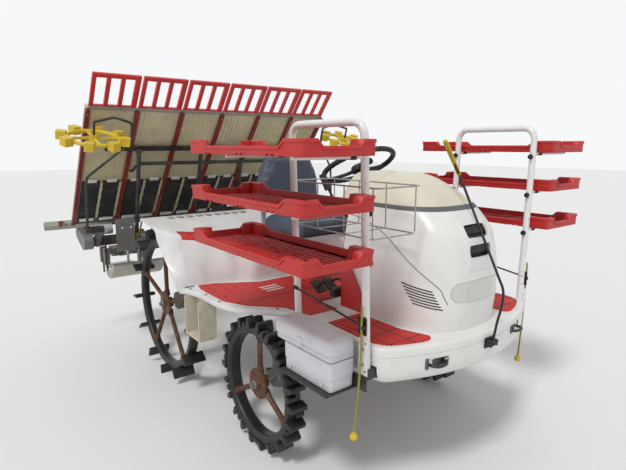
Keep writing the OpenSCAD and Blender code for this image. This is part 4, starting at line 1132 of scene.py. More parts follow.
@dataclass
class Cowl:
    """The cream cowl over the dashboard, with its lip and meter panel."""

    back: float = 0.125
    # Heights of the hood's foot and top, and where its roof closes
    hood_z: Pair = (1.1902, 1.323)
    roof_x: float = 0.24
    # The meter panel's front and back, half width and heights
    panel_x: Pair = (0.112, 0.127)
    panel_half: float = 0.105
    panel_z: Pair = (1.205, 1.287)

    def shell(self) -> None:
        """Make the rounded cream hood."""
        shape = Shape()
        low, high = self.hood_z
        rings = []
        for k in range(25):
            rings.append(SKIN.ring(low + (high - low) * (k / 24), self.back, -0.001))
        x = at(self.roof_x, 0, 0).x
        last = rings[-1]
        for share, rise in ((0.93, 0.0012), (0.8, 0.0028), (0.6, 0.0044), (0.35, 0.0054), (0.1, 0.0058)):
            rings.append([Vector((x + (p.x - x) * share, p.y * share, high + rise)) for p in last])
        rings = [ring + [ring[0].copy()] for ring in rings]
        shape.sheet(rings)
        shape.cap()
        hood = shape.piece("cowl_hood", COWL_CREAM, "chassis", "cream_plastic", smooth=50)
        thicken(hood, 0.004)
        shade(hood, 50)

    def lip(self) -> None:
        """Make the grey lip between the cowl and the bonnet."""
        shape = Shape()
        rings = [SKIN.ring(z, self.back + 0.075, out) for z, out in
                 ((1.182, 0.0002), (1.184, 0.0026), (1.196, 0.003), (1.199, 0.0022), (1.2, 0.0))]
        shape.sheet(rings)
        made = shape.piece("cowl_lip", TRIM_GREY, "chassis", "grey_plastic")
        thicken(made, 0.002)

    def panel(self) -> None:
        """Make the meter panel that faces the driver."""
        shape = Shape()
        face = self.panel_x[0]
        low = at(face, -self.panel_half, self.panel_z[0])
        shape.block(low, at(self.panel_x[1], self.panel_half, self.panel_z[1]), 0.006, 3)
        shape.piece("meter_panel", TRIM_BLACK, "chassis", "black_plastic")
        dials = Shape()
        for y in (-0.055, 0.055):
            dials.rod(at(face + 0.0015, y, 1.247), at(face - 0.004, y, 1.247), 0.028, 32)
        for y in (-0.015, 0.0, 0.015):
            dials.rod(at(face + 0.0015, y, 1.225), at(face - 0.008, y, 1.225), 0.005, 12)
        dials.piece("meter_dials", TRIM_GREY, "chassis", "grey_plastic")
        lower = Shape()
        lower.block(at(0.069, -0.1205, 0.703), at(0.0705, 0.1205, 1.118), 0.0005, 1)
        lower.piece("cowl_front_skin", COWL_CREAM, "chassis", "cream_plastic")

    def build(self) -> None:
        """Make every piece of the cowl."""
        self.shell()
        self.lip()
        self.panel()


def chaikin(points: Sequence[Point], rounds: int = 2) -> list[Pair]:
    """Cut the corners of an open outline.

    Args:
        points: Corners of the outline.
        rounds: How often the corners are cut.

    Returns:
        The rounded outline.
    """
    line = [tuple(p) for p in points]
    for _ in range(rounds):
        made = [line[0]]
        for i, (a, b) in enumerate(zip(line, line[1:])):
            if i > 0:
                made.append((a[0] * 0.75 + b[0] * 0.25, a[1] * 0.75 + b[1] * 0.25))
            if i < len(line) - 2:
                made.append((a[0] * 0.25 + b[0] * 0.75, a[1] * 0.25 + b[1] * 0.75))
        line = made + [line[-1]]
    return line


def inset(points: Sequence[Pair], depth: float, closed: bool = True) -> list[Pair]:
    """Move an outline inwards, to the left of its direction.

    Args:
        points: Points of the outline.
        depth: How far it moves.
        closed: Whether its last point leads to its first.

    Returns:
        The moved outline.
    """
    made = []
    count = len(points)
    for i, (x, y) in enumerate(points):
        a = points[i - 1] if closed or i else points[i]
        b = points[(i + 1) % count] if closed or i < count - 1 else points[i]
        dx, dy = b[0] - a[0], b[1] - a[1]
        long = math.hypot(dx, dy) or 1.0
        made.append((x - dy / long * depth, y + dx / long * depth))
    return made


def rounded_box(low: Pair, high: Pair, radius: float, arc: int, side: int) -> list[Pair]:
    """Return a rounded rectangle's outline, anticlockwise from above.

    Args:
        low: Lowest corner.
        high: Highest corner.
        radius: Radius of the corners.
        arc: Parts of each corner.
        side: Parts of each side.

    Returns:
        Points of the outline.
    """
    made = []
    corners = [(high[0] - radius, low[1] + radius, -90), (high[0] - radius, high[1] - radius, 0),
               (low[0] + radius, high[1] - radius, 90), (low[0] + radius, low[1] + radius, 180)]
    for i, (x, y, turn) in enumerate(corners):
        for k in range(arc + 1):
            a = math.radians(turn + 90 * k / arc)
            made.append((x + radius * math.cos(a), y + radius * math.sin(a)))
        x2, y2, turn2 = corners[(i + 1) % 4]
        a = math.radians(turn2)
        end = (x2 + radius * math.cos(a), y2 + radius * math.sin(a))
        start = made[-1]
        for k in range(1, side):
            made.append(tuple(a + (b - a) * k / side for a, b in zip(start, end)))
    return made


@dataclass
class Fender:
    """The white fender and platform behind the seat, the deck in front of it, the red shoulder pads and
    painted flap shadows on the platform.
    """

    thick: float = 0.005
    half: float = 0.76
    # Half width, the foot's x, then x and z of the shoulder and of its end
    rows: tuple[tuple[float, ...], ...] = (
        (0.0, -0.455, -0.47, 0.88, -0.51, 0.912), (0.33, -0.46, -0.48, 0.862, -0.53, 0.905),
        (0.42, -0.53, -0.56, 0.88, -0.62, 0.925), (0.56, -0.585, -0.64, 0.905, -0.7, 0.945),
        (0.7, -0.598, -0.69, 0.915, -0.745, 0.958), (0.738, -0.592, -0.775, 0.89, -0.85, 0.972),
        (0.76, -0.586, -0.84, 0.915, -0.925, 0.992))
    platform_z: float = 1.01
    lip_x: float = -1.112
    deck_points: tuple[Pair, ...] = (
        (-0.585, 0.748), (-0.52, 0.715), (-0.44, 0.7), (-0.23, 0.7), (-0.13, 0.675), (-0.03, 0.6),
        (0.06, 0.52), (0.16, 0.49), (0.3297, 0.49))

    def row(self, half: float) -> list[float]:
        """Return the fender's five section values at a half width.

        Args:
            half: Distance from the machine's middle.

        Returns:
            The values between the two nearest rows.
        """
        rows = self.rows
        i = max(0, min(len(rows) - 2, sum(r[0] <= half for r in rows) - 1))
        a, b = rows[i], rows[i + 1]
        t = (half - a[0]) / (b[0] - a[0])
        t = t * t * (3 - 2 * t) * 0.6 + t * 0.4
        return [a[k] + (b[k] - a[k]) * t for k in range(1, 6)]

    def section(self, y: float) -> list[Vector]:
        """Return the fender's section across the machine's length.

        Args:
            y: Place across the machine.

        Returns:
            The section's points, front to rear.
        """
        fx, sx, sz, ex, ez = self.row(abs(y))
        fz = DECK_TOP + SEAT_GAP
        points = [(fx, fz), ((fx + sx) / 2 + 0.006, (fz + sz) / 2), (sx, sz),
                  (0.6 * sx + 0.4 * ex + 0.004, 0.35 * sz + 0.65 * ez + 0.004), (ex, ez),
                  (-0.95, self.platform_z - 0.018), (self.lip_x + 0.014, self.platform_z - 0.001)]
        line = [(p.x, p.y) for p in smooth_line([(x, z, 0) for x, z in points], 5)]
        line += [(self.lip_x + 0.004, self.platform_z - 0.003), (self.lip_x, self.platform_z - 0.01),
                 (self.lip_x, self.platform_z - 0.024)]
        return [at(x, y, z) for x, z in line]

    def shell(self) -> None:
        """Make the fender's moulded skin with its rolled side edges."""
        shape = Shape()
        count = 76
        rings = [self.section(-self.half + 2 * self.half * k / count) for k in range(count + 1)]
        right, left = ([p - Vector((0, 0, 0.016)) for p in rings[end]] for end in (0, -1))
        shape.sheet([right] + rings + [left])
        made = shape.piece("fender_shell", DECK_WHITE, "chassis", "white_panel", ["fender"])
        thicken(made, self.thick)
        hole = Shape()
        hole.block(at(-0.625, -0.12, 0.67), at(-0.555, 0.12, 1.0), 0.01, 2)
        carve(made, hole)
        shade(made, 50)

    def outline(self) -> list[Pair]:
        """Return the deck's outline, anticlockwise from above."""
        left = chaikin(self.deck_points, 2)
        right = [(x, -y) for x, y in left]
        return right + left[::-1]

    def floor(self) -> None:
        """Make the deck's floor with its rounded edge and its openings."""
        shape = Shape()
        shape.layers(self.outline(), ((0.006, 0.6735), (0.006, 0.656), (0.001, 0.656), (0.0, 0.658),
                                      (0.0, 0.672), (0.0015, 0.677), (0.005, 0.68), (0.012, 0.6805)))
        shape.cap()
        made = shape.piece("deck_floor", DECK_WHITE, "chassis", "white_panel", ["deck"])
        for low, high, half in ((0.19, 0.4, 0.24), (0.066, 0.195, 0.124), (-0.7, -0.462, 0.2)):
            hole = Shape()
            hole.block(at(low, -half, 0.6), at(high, half, 0.9))
            carve(made, hole)
        shade(made, 40)
        pad = Shape()
        pad.block(at(0.2, -0.285, 0.6745), at(0.3297, 0.285, 0.7002), 0.006, 3)
        rise = pad.piece("deck_rise", DECK_WHITE, "chassis", "white_panel")
        hole = Shape()
        hole.block(at(0.19, -0.24, 0.6), at(0.4, 0.24, 0.9))
        carve(rise, hole)

    def pads(self) -> None:
        """Make the painted shadows of the table's flaps along the platform and the red pads on its shoulders.
        """
        flap_shadows = Shape()
        # Light grey patches in a row along the platform are painted shadows of the seedling table's flaps
        for side in SIDES:
            for k in range(9):
                y = side * (0.1 + 0.062 * k)
                x = -1.058 + 0.012 * math.cos(k * 0.3)
                low, high = self.platform_z - 0.006, self.platform_z + 0.0012
                flap_shadows.block(at(x, y - 0.018, low), at(x + 0.052, y + 0.018, high), 0.004, 2)
        flap_shadows.piece("platform_painted_shadows", SHADOW_GREY, "chassis", "white_panel")
        reds = Shape()
        for side in SIDES:
            old = set(reds.bm.verts)
            bmesh.ops.create_grid(reds.bm, x_segments=10, y_segments=14, size=1)
            for vert in [v for v in reds.bm.verts if v not in old]:
                y = side * (0.59 + 0.085 * vert.co.y)
                line = self.section(y)
                spot = 16 + 5 * vert.co.x
                i = int(spot)
                vert.co = line[i].lerp(line[i + 1], spot - i) + Vector((0.0008, 0, 0.0028))
        made = reds.piece("shoulder_pads", MAT_RED, "chassis", "red_mat")
        thicken(made, 0.0025)

    def trim(self) -> None:
        """Make the deck's slots and screws."""
        slots = Shape()
        for side in SIDES:
            for k in range(3):
                x, y = -0.33 + 0.038 * k, side * 0.345
                slots.block(at(x, y - 0.055, 0.685), at(x + 0.014, y + 0.055, 0.6863), 0.0006, 1)
        slots.piece("deck_drain_bars", DECK_WHITE, "chassis", "white_panel")
        screws = Shape()
        for side in SIDES:
            for x, y in ((-0.545, 0.7), (-0.4, 0.678), (-0.25, 0.678), (0.02, 0.512), (0.15, 0.47),
                         (0.28, 0.47)):
                screws.rod(at(x, side * y, 0.68), at(x, side * y, 0.6832), 0.008, 12, 0.006)
        screws.piece("deck_screws", TRIM_GREY, "chassis", "black_plastic")

    def build(self) -> None:
        """Make every piece of the fender and the deck."""
        self.shell()
        self.floor()
        self.pads()
        self.trim()


@dataclass
class Apron:
    """The rounded front step with its seam, its tow hooks and their recesses."""

    bow: float = 1.0
    nose_x: float = 0.825
    half: float = 0.505
    rim: float = 0.055
    hook_spots: tuple[Pair, ...] = ((-0.275, 0.622), (0.245, 0.645))

    def outline(self) -> list[Pair]:
        """Return the front step's plan, from the right rear round the nose to the left rear.

        Returns:
            The plan's points.
        """
        centre = self.nose_x - self.bow
        bend = math.degrees(math.asin(0.47 / self.bow))
        right = [(0.33, -self.half), (0.43, -self.half), (0.52, -self.half), (0.6, -self.half + 0.0005)]
        corner = [(0.64, -0.5035), (0.672, -0.4985), (0.692, -0.488)]
        arc = []
        for k in range(41):
            a = math.radians(-bend + 2 * bend * k / 40)
            arc.append((centre + self.bow * math.cos(a), self.bow * math.sin(a)))
        left = [(x, -y) for x, y in reversed(right + corner)]
        return right + corner + arc + left

    def bumper(self) -> None:
        """Make the step's moulding, its recesses and its cut-outs."""
        shape = Shape()
        flat = self.outline()
        steps = ((self.rim, STEP_TOP), (0.014, STEP_TOP), (0.006, 0.6988), (0.0015, 0.695), (0.0, 0.689),
                 (0.0, 0.663), (0.0026, 0.6615), (0.0026, 0.6585), (0.0, 0.657), (0.0, 0.625),
                 (0.001, 0.6), (0.005, 0.58), (0.012, 0.566), (0.023, 0.556), (0.038, 0.551),
                 (0.052, 0.55))
        shape.sheet([[at(x, y, z) for x, y in inset(flat, depth, False)] for depth, z in steps])
        bmesh.ops.contextual_create(shape.bm, geom=[v for v in shape.bm.verts if self.inner_rim(v.co)])
        made = shape.piece("front_step", PANEL_WHITE, "chassis", "white_panel", ["front_apron"])
        thicken(made, 0.005)
        holes = Shape()
        holes.block(at(0.3, -0.244, 0.6), at(0.624, 0.244, 0.71))
        holes.block(at(0.626, -0.6, 0.576), at(0.674, 0.6, 0.624))
        carve(made, holes)
        for y, z in self.hook_spots:
            pocket = Shape()
            x = self.front(y)
            pocket.block(at(x - 0.012, y - 0.052, z - 0.019), at(x + 0.05, y + 0.052, z + 0.019), 0.012, 3)
            carve(made, pocket)
        shade(made, 40)

    def inner_rim(self, spot: Vector) -> bool:
        """Tell whether a point lies on the top's inner rim."""
        near = min(math.hypot(spot.x - SHIFT - x, abs(spot.y) - abs(y)) for x, y in
                   inset(self.outline(), self.rim, False))
        return abs(spot.z - STEP_TOP) < 1e-6 and near < 1e-5

    def front(self, y: float) -> float:
        """Return the reach of the bowed front at a side."""
        return self.nose_x - self.bow + math.sqrt(self.bow ** 2 - y * y)

    def hooks(self) -> None:
        """Make the recess pans and the black tow hooks."""
        pans = Shape()
        hooks = Shape()
        for y, z in self.hook_spots:
            x = self.front(y)
            pans.block(at(x - 0.02, y - 0.056, z - 0.023), at(x - 0.0125, y + 0.056, z + 0.023), 0.002, 1)
            route = [at(x - 0.014, y - 0.038, z - 0.004), at(x + 0.01, y - 0.036, z - 0.004),
                     at(x + 0.024, y - 0.012, z - 0.005), at(x + 0.022, y + 0.024, z - 0.004),
                     at(x + 0.006, y + 0.036, z - 0.003), at(x - 0.014, y + 0.036, z - 0.003)]
            hooks.sweep(smooth_line(route, 4), 0.0065, 10)
        pans.piece("hook_pans", TRIM_GREY, "chassis", "black_plastic")
        hooks.piece("tow_hooks", FRAME_BLACK, "chassis", "black_steel")

    def mats(self) -> None:
        """Make the red mats of both sides, out to the nose."""
        shape = Shape()
        plan = ((0.357, 0.29), (0.357, 0.472), (0.6, 0.48), (0.64, 0.474), (0.668, 0.462),
                (0.69, 0.44), (0.704, 0.414), (0.722, 0.372), (0.742, 0.312), (0.745, 0.285),
                (0.737, 0.263), (0.718, 0.252), (0.69, 0.262), (0.6, 0.29))
        for side in SIDES:
            flat = [(x, side * y) for x, y in plan][::-side]
            shape.layers(flat, ((0, STEP_TOP + SEAT_GAP), (0, 0.705), (0.0012, 0.7058)))
        shape.cap()
        shape.piece("front_mats", MAT_RED, "chassis", "red_mat", smooth=30)

    def build(self) -> None:
        """Make every piece of the front step."""
        self.bumper()
        self.hooks()
        self.mats()


@dataclass
class Trays:
    """The six red seedling trays: lobed corners, low walls, ribbed floors and notched skirts."""

    low: Pair = (-0.06, 0.58)
    size: Pair = (0.8, 0.31)
    deep: float = 0.055
    dip: float = 0.022
    # Reach of a corner's lobe along x and y, and the lengths of its slopes
    lobe_reach: Pair = (0.108, 0.062)
    lobe_slope: Pair = (0.016, 0.014)
    heights: tuple[float, ...] = (1.1, 1.285, 1.47)

    def lobe(self, x: float, y: float) -> float:
        """Return 1 near a corner, 0 along the low walls and a smooth step between.

        Args:
            x: Place along the tray.
            y: Place across the tray.

        Returns:
            The share, 0 to 1.
        """
        x0, y0 = self.low
        dx, dy = min(x - x0, x0 + self.size[0] - x), min(y - y0, y0 + self.size[1] - y)
        near = min(1 - min(1.0, max(0.0, (gap - reach) / slope))
                   for gap, reach, slope in zip((dx, dy), self.lobe_reach, self.lobe_slope))
        return near * near * (3 - 2 * near)

    def one(self) -> bpy.types.Object:
        """Make one tray with its rim at height nought.

        Returns:
            The tray as an object.
        """
        x0, y0 = self.low
        cx, cy = x0 + self.size[0] / 2, y0 + self.size[1] / 2
        flat = rounded_box((x0, y0), (x0 + self.size[0], y0 + self.size[1]), 0.016, 5, 26)
        shape = Shape()
        # Each step: depth in from the edge, growth in a lobe, height, whether it follows the wall's top
        steps = ((0.012, 0, -self.deep, 0), (0.006, 0, -self.deep, 0), (0.004, 0, -0.052, 0),
                 (0.0045, 0, -0.03, 0), (0.003, 0, -0.0115, 1), (0.0, 0, -0.0105, 1),
                 (0.0, 0, -0.002, 1), (0.0015, 0, 0.0, 1), (0.008, 0.018, 0.0, 1),
                 (0.01, 0.02, -0.002, 1), (0.013, 0.024, -0.045, 0), (0.017, 0.026, -0.047, 0))
        rings = []
        for depth, grow, z, follows in steps:
            ring = []
            for i, (x, y) in enumerate(inset(flat, depth)):
                lobe = self.lobe(*flat[i])
                if grow and lobe:
                    push = grow * lobe
                    if abs(y - cy) < self.size[1] / 2 - depth - 0.002:
                        x += push if x < cx else -push
                    if abs(x - cx) < self.size[0] / 2 - depth - 0.002:
                        y += push if y < cy else -push
                top = -self.dip * (1 - lobe) if follows else 0.0
                ring.append(at(x, y, min(z + top, 0.0) if follows else min(z, 0.0)))
            rings.append(ring + [ring[0].copy()])
        shape.sheet(rings)
        shape.cap()
        for k in range(9):
            y = y0 + 0.05 + (self.size[1] - 0.1) * k / 8
            end = at(x0 + self.size[0] - 0.07, y + 0.004, -0.044)
            shape.block(at(x0 + 0.07, y - 0.004, -0.048), end, 0.0012, 1)
        for x in (x0 + 0.26, x0 + 0.52):
            end = at(x + 0.006, y0 + self.size[1] - 0.04, -0.043)
            shape.block(at(x - 0.006, y0 + 0.04, -0.048), end, 0.0012, 1)
        made = shape.piece("tray_form", TRAY_RED, "chassis", "red_tray")
        notches = Shape()
        for x in (0.155, 0.185, 0.4, 0.43, 0.6, 0.63):
            for y in (y0, y0 + self.size[1]):
                low = -self.deep - 0.001
                notches.rod(at(x0 + x, y - 0.02, low), at(x0 + x, y + 0.02, low), 0.01, 12)
        carve(made, notches)
        return made

    def build(self) -> None:
        """Make the six trays as one piece."""
        form = self.one()
        shape = Shape()
        for side in (1, -1):
            for height in self.heights:
                old = set(shape.bm.verts)
                shape.bm.from_mesh(form.data)
                mine = [v for v in shape.bm.verts if v not in old]
                faces = list(dict.fromkeys(f for v in mine for f in v.link_faces))
                bmesh.ops.translate(shape.bm, verts=mine, vec=(0, 0, height))
                if side < 0:
                    bmesh.ops.scale(shape.bm, verts=mine, vec=(1, -1, 1))
                    bmesh.ops.reverse_faces(shape.bm, faces=faces)
        bpy.data.objects.remove(form)
        shape.piece("seedling_trays", TRAY_RED, "chassis", "red_tray", ["rack_trays"], 35)


@dataclass
class Wheel:
    """A ribbed field wheel: rubber ring with lugs, rusted spokes and hub."""

    name: str
    side: int
    # Distance ahead and height of the axle, then the wheel's distance from the middle
    axle: Pair
    y: float
    # Radius of the ring's middle line, half of its width and radius at the lugs' tips
    ring_r: float
    ring_half: float
    tip_r: float
    # Lugs, with their width and half of their tip's thickness
    lugs: int
    lug_w: float
    tip_half: float
    spokes: int
    # Whether small lugs stand between the large ones
    between: bool
    ring_d: float = 0.04

    def place(self) -> Matrix:
        """Return the turn and place of the wheel's own axis."""
        turn = Matrix.Rotation(math.radians(-90 * self.side), 4, "X")
        return Matrix.Translation(at(self.axle[0], self.side * self.y, self.axle[1])) @ turn

    def ring(self) -> None:
        """Make the rubber ring and its lugs."""
        shape = Shape()
        r, d = self.ring_r, self.ring_d
        half = self.ring_half
        side = [(r - d / 2, half * 0.3), (r - d * 0.46, half * 0.62), (r - d * 0.3, half * 0.86),
                (r - d * 0.05, half * 0.985), (r + d * 0.05, half * 0.955), (r + d * 0.12, half * 1.02),
                (r + d * 0.34, half * 1.02), (r + d / 2, half * 0.9), (r + d / 2 + 0.0015, half * 0.5)]
        profile = side + [(x, -z) for x, z in reversed(side)]
        shape.turned(smooth_line([(x, 0, z) for x, z in profile + profile[:1]], 3)[:-1], 96, True)
        count = self.lugs * (2 if self.between else 1)
        for i in range(count):
            main = i % 2 == 0 or not self.between
            turn = math.radians(90 + 360 * (i + (1 if self.between else 0.5)) / count)
            self.lug(shape, turn, main, i)
        shape.move(self.place())
        shape.piece(f"{self.name}_ring", WHEEL_RUBBER, self.name, "wheel_steel", [self.name], 38)

    def lug(self, shape: Shape, turn: float, main: bool, i: int) -> None:
        """Add one lug.

        Args:
            shape: Where it goes.
            turn: Its angle round the wheel.
            main: Whether it is a full-width lug.
            i: Its number.
        """
        half = self.lug_w / 2 if main else self.lug_w * 0.26
        base = self.ring_r + self.ring_d / 2 - 0.006
        tip = self.tip_r - (0.0005 if main else 0.022)
        middle = 0.0 if main else (self.lug_w * 0.22 if i % 4 == 1 else -self.lug_w * 0.22)
        thick = self.tip_half
        verts = shape.block((base, -thick * 1.7, middle - half), (tip, thick * 1.7, middle + half), 0.0, 1)
        for vert in verts:
            out = (vert.co.x - base) / (tip - base)
            vert.co.y *= 1 - 0.44 * out if main else 1 - 0.5 * out
            if self.between:
                vert.co.z = middle + (vert.co.z - middle) * (1 - 0.1 * out)
        shape.move(Matrix.Rotation(turn, 4, "Z"), shape.soften(verts, 0.0035, 2))

    def hub(self) -> None:
        """Make the spokes, the hub disc and the axle nut."""
        shape = Shape()
        rim = self.ring_r - self.ring_d / 2
        for i in range(self.spokes):
            a = math.radians(90 + 360 * i / self.spokes)
            way = Vector((math.cos(a), math.sin(a), 0))
            shape.rod(way * 0.02, way * (rim + 0.004), 0.013, 16)
            shape.rod(way * 0.05, way * 0.088, 0.02, 16, 0.0145)
            shape.rod(way * (rim - 0.022), way * (rim + 0.003), 0.0145, 16, 0.023)
        profile = ((0, 0.034), (0.018, 0.034), (0.026, 0.03), (0.03, 0.022), (0.032, 0.02), (0.07, 0.02),
                   (0.074, 0.018), (0.075, 0.014), (0.074, 0.009), (0.07, 0.008), (0.034, 0.008),
                   (0.032, -0.028), (0.03, -0.03), (0.0, -0.03))
        shape.turned([(r, 0, z) for r, z in profile], 40)
        shape.move(self.place())
        shape.piece(f"{self.name}_hub", RUSTY, self.name, "wheel_steel", smooth=35)
        nut = Shape()
        nut.rod((0, 0, 0.0335), (0, 0, 0.0365), 0.021, 24)
        nut.rod((0, 0, 0.036), (0, 0, 0.048), 0.0175, 4, 0.0165)
        nut.rod((0, 0, 0.047), (0, 0, 0.055), 0.008, 16)
        nut.move(self.place())
        nut.piece(f"{self.name}_nut", RAIL_STEEL, self.name, "wheel_steel", smooth=35)

    def build(self) -> None:
        """Make the wheel."""
        self.ring()
        self.hub()


@dataclass
class ToolBox:
    """The grey box with its lid on the right of the machine."""

    x: Pair = (0.25, 0.61)
    y: Pair = (-0.673, -0.5453)
    foot_x: float = 0.306

    def outline(self, grow: float, radius: float, from_x: float) -> list[Pair]:
        """Return the box's rounded outline, grown on its free sides."""
        high = (self.x[1] + grow, self.y[1] - (0.0007 if grow else 0.0))
        return rounded_box((from_x - grow, self.y[0] - grow), high, radius, 5, 6)

    def build(self) -> None:
        """Make the box with its cut-back foot, its lid, latch and bolts."""
        body = Shape()
        foot = ((0.016, 0.5364), (0.009, 0.5385), (0.006, 0.545), (0.0045, 0.59), (0.002, 0.592),
                (0.001, 0.655))
        body.layers(self.outline(0.0, 0.018, self.foot_x), foot)
        body.cap()
        body.layers(self.outline(0.0, 0.018, self.x[0]),
                    ((0.012, 0.656), (0.004, 0.659), (0.001, 0.664), (0.001, 0.699), (0.004, 0.7)))
        body.cap()
        body.piece("tool_box_body", BOX_GREY, "chassis", "grey_plastic", ["tool_box"], 35)
        lid = Shape()
        dome = ((0.01, 0.6905), (0.0, 0.6905), (0.0, 0.7), (0.0012, 0.702), (0.0012, 0.724),
                (0.003, 0.73), (0.01, 0.739), (0.016, 0.743), (0.022, 0.7465), (0.027, 0.748))
        lid.layers(self.outline(0.008, 0.03, self.x[0]), dome)
        lid.cap()
        lid.piece("tool_box_lid", BOX_GREY, "chassis", "grey_plastic", smooth=50)
        small = Shape()
        middle = (self.x[0] + self.x[1]) / 2
        face = self.y[0]
        small.block(at(middle - 0.018, face - 0.0125, 0.676), at(middle + 0.018, face - 0.0072, 0.712),
                    0.002, 2)
        small.block(at(middle - 0.01, face - 0.016, 0.682), at(middle + 0.01, face - 0.012, 0.694),
                    0.0015, 2)
        for x in (self.foot_x + 0.05, self.x[1] - 0.05):
            small.rod(at(x, face + 0.0012, 0.56), at(x, face - 0.0012, 0.56), 0.006, 12)
        small.piece("tool_box_latch", BOX_GREY, "chassis", "grey_plastic")
        rim = Shape()
        for x in (self.foot_x + 0.02, middle, self.x[1] - 0.03):
            rim.rod(at(x, -0.64, 0.5312), at(x, -0.64, 0.5268), 0.007, 6)
            rim.rod(at(x, -0.5492, 0.56), at(x, -0.5452, 0.56), 0.007, 6)
        rim.piece("tool_box_bolts", RAIL_STEEL, "chassis", "rail_steel")


@dataclass
class Racks:
    """Knobs, clips, feet and bolts of the two white rack frames."""

    post_y: float = 0.56
    foot_y: float = 0.53
    post_z: float = 1.53
    deck_z: float = 0.68
    posts: Pair = (0.22, 0.65)
    # Height of each tray's holders
    tray_z: tuple[float, ...] = (1.0255, 1.2105, 1.3945)

    def y_at(self, z: float) -> float:
        """Return the distance of a post's axis from the middle at a height."""
        return self.post_y - (self.post_z - z) * (self.post_y - self.foot_y) / (self.post_z - self.deck_z)

    def build(self) -> None:
        """Make every small piece of the racks."""
        knobs, clips, feet, plates, holes = (Shape() for _ in range(5))
        for side in SIDES:
            for x in self.posts:
                for z in self.tray_z:
                    y = self.y_at(z - 0.0005)
                    knobs.rod(at(x, side * (y - 0.013), z), at(x, side * (y - 0.022), z), 0.01, 16)
                    knobs.rod(at(x, side * (y - 0.021), z), at(x, side * (y - 0.03), z), 0.013, 12, 0.01)
                    out = side * (y + 0.058)
                    clips.block(at(x - 0.011, out - 0.012, z + 0.0055),
                                at(x + 0.011, out + 0.012, z + 0.018), 0.003, 2)
            y = self.y_at(self.deck_z)
            for dx, dy in ((-0.02, -0.012), (0.02, -0.012), (0.0, 0.022)):
                x, out = self.posts[0] + dx, side * (y + dy)
                feet.rod(at(x, out, 0.6883), at(x, out, 0.693), 0.006, 6)
            y = self.y_at(0.66)
            x = self.posts[1]
            plate = side * (y + 0.015), side * (y + 0.0185)
            plates.block(at(x - 0.024, min(plate), 0.598), at(x + 0.024, max(plate), 0.742), 0.0012, 2)
            for z in (0.64, 0.7):
                feet.rod(at(x, side * (y + 0.018), z), at(x, side * (y + 0.0235), z), 0.0075, 6)
            # Black discs at the foot plate's corner holes are painted shade inside the holes
            for dx, z in ((-0.013, 0.615), (0.013, 0.615), (-0.013, 0.726), (0.013, 0.726)):
                holes.rod(at(x + dx, side * (y + 0.0175), z), at(x + dx, side * (y + 0.0189), z), 0.0042, 16)
        knobs.piece("rack_knobs", TRIM_BLACK, "chassis", "black_plastic")
        clips.piece("tray_clips", TRIM_BLACK, "chassis", "black_plastic")
        feet.piece("rack_foot_bolts", RAIL_STEEL, "chassis", "rail_steel")
        plates.piece("rack_foot_plates", RACK_WHITE, "chassis", "white_tube")
        holes.piece("rack_foot_hole_shade", TRIM_BLACK, "chassis", "black_plastic")


@dataclass
class SideMarkers:
    """The two hanging yellow balls on their olive rods, with their clamps and cross rods."""

    racks: Racks = field(default_factory=Racks)
    clamp_z: float = 0.79
    nose_x: float = 0.825

    def spot(self, side: int, x: float, out: float, z: float) -> Vector:
        """Return a point beside a leaning post, from its distance off the post's middle."""
        return at(x, side * (self.racks.y_at(z) + out), z)

    def build(self) -> None:
        """Make the clamps, cross rods, hanging rods and balls, and the front clamp."""
        black, olive, balls = Shape(), Shape(), Shape()
        (rear_x, x), z = self.racks.posts, self.clamp_z
        for side in SIDES:
            black.block(*self.corners(side, x - 0.022, x + 0.022, 0.0155, 0.0195, z - 0.032, z + 0.038),
                        0.0015, 1)
            black.block(*self.corners(side, x - 0.014, x + 0.006, 0.0195, 0.03, z - 0.02, z + 0.026),
                        0.003, 2)
            black.block(*self.corners(side, x - 0.008, x + 0.02, 0.0155, 0.035, z - 0.006, z + 0.01),
                        0.003, 2)
            for dx, dz in ((-0.014, 0.029), (0.014, 0.029), (-0.014, -0.024), (0.014, -0.024)):
                black.rod(self.spot(side, x + dx, 0.019, z + dz), self.spot(side, x + dx, 0.0235, z + dz),
                          0.0048, 6)
            start = self.spot(side, x - 0.002, 0.026, z + 0.008)
            end = self.spot(side, rear_x + 0.02, 0.029, z + 0.06)
            black.sweep([start, start.lerp(end, 0.5), end], 0.0042, 10)
            black.rod(end, end + (end - start).normalized() * -0.02, 0.0085, 16, 0.0075)
            hang = [self.spot(side, x + 0.01, 0.029, z + 0.08), self.spot(side, x + 0.009, 0.031, z),
                    self.spot(side, x + 0.008, 0.034, z - 0.09),
                    self.spot(side, x + 0.002, 0.046, z - 0.26),
                    self.spot(side, x - 0.01, 0.06, z - 0.43)]
            olive.sweep(smooth_line(hang, 5), 0.0045, 10)
            ball, neck, top = (self.spot(side, x - 0.01, 0.06, z - down) for down in (0.44, 0.428, 0.418))
            bmesh.ops.create_uvsphere(balls.bm, u_segments=28, v_segments=18, radius=0.0158,
                                      matrix=Matrix.Translation(ball))
            balls.rod(top, neck, 0.0075, 16)
        nose = self.nose_x
        black.block(at(nose + 0.0006, -0.032, 0.628), at(nose + 0.005, 0.032, 0.672), 0.0015, 2)
        for y in (-0.02, 0.02):
            black.block(at(nose + 0.003, y - 0.006, 0.636), at(nose + 0.028, y + 0.006, 0.664), 0.004, 3)
        for y in (-0.026, 0.026):
            black.rod(at(nose + 0.018, y, 0.65), at(nose + 0.018, y * 1.3, 0.65), 0.0075, 6)
        black.piece("marker_clamps", TRIM_BLACK, "chassis", "marker_rods", ["side_markers"])
        olive.piece("marker_rods", ROD_OLIVE, "chassis", "marker_rods")
        balls.piece("marker_balls", MARKER_YELLOW, "chassis", "yellow_plastic", smooth=60)

    def corners(self, side: int, x0: float, x1: float, out0: float, out1: float, z0: float,
                z1: float) -> tuple:
        """Return the two corners of a block beside a post."""
        y0, y1 = (side * (self.racks.y_at((z0 + z1) / 2) + out) for out in (out0, out1))
        return at(x0, min(y0, y1), z0), at(x1, max(y0, y1), z1)


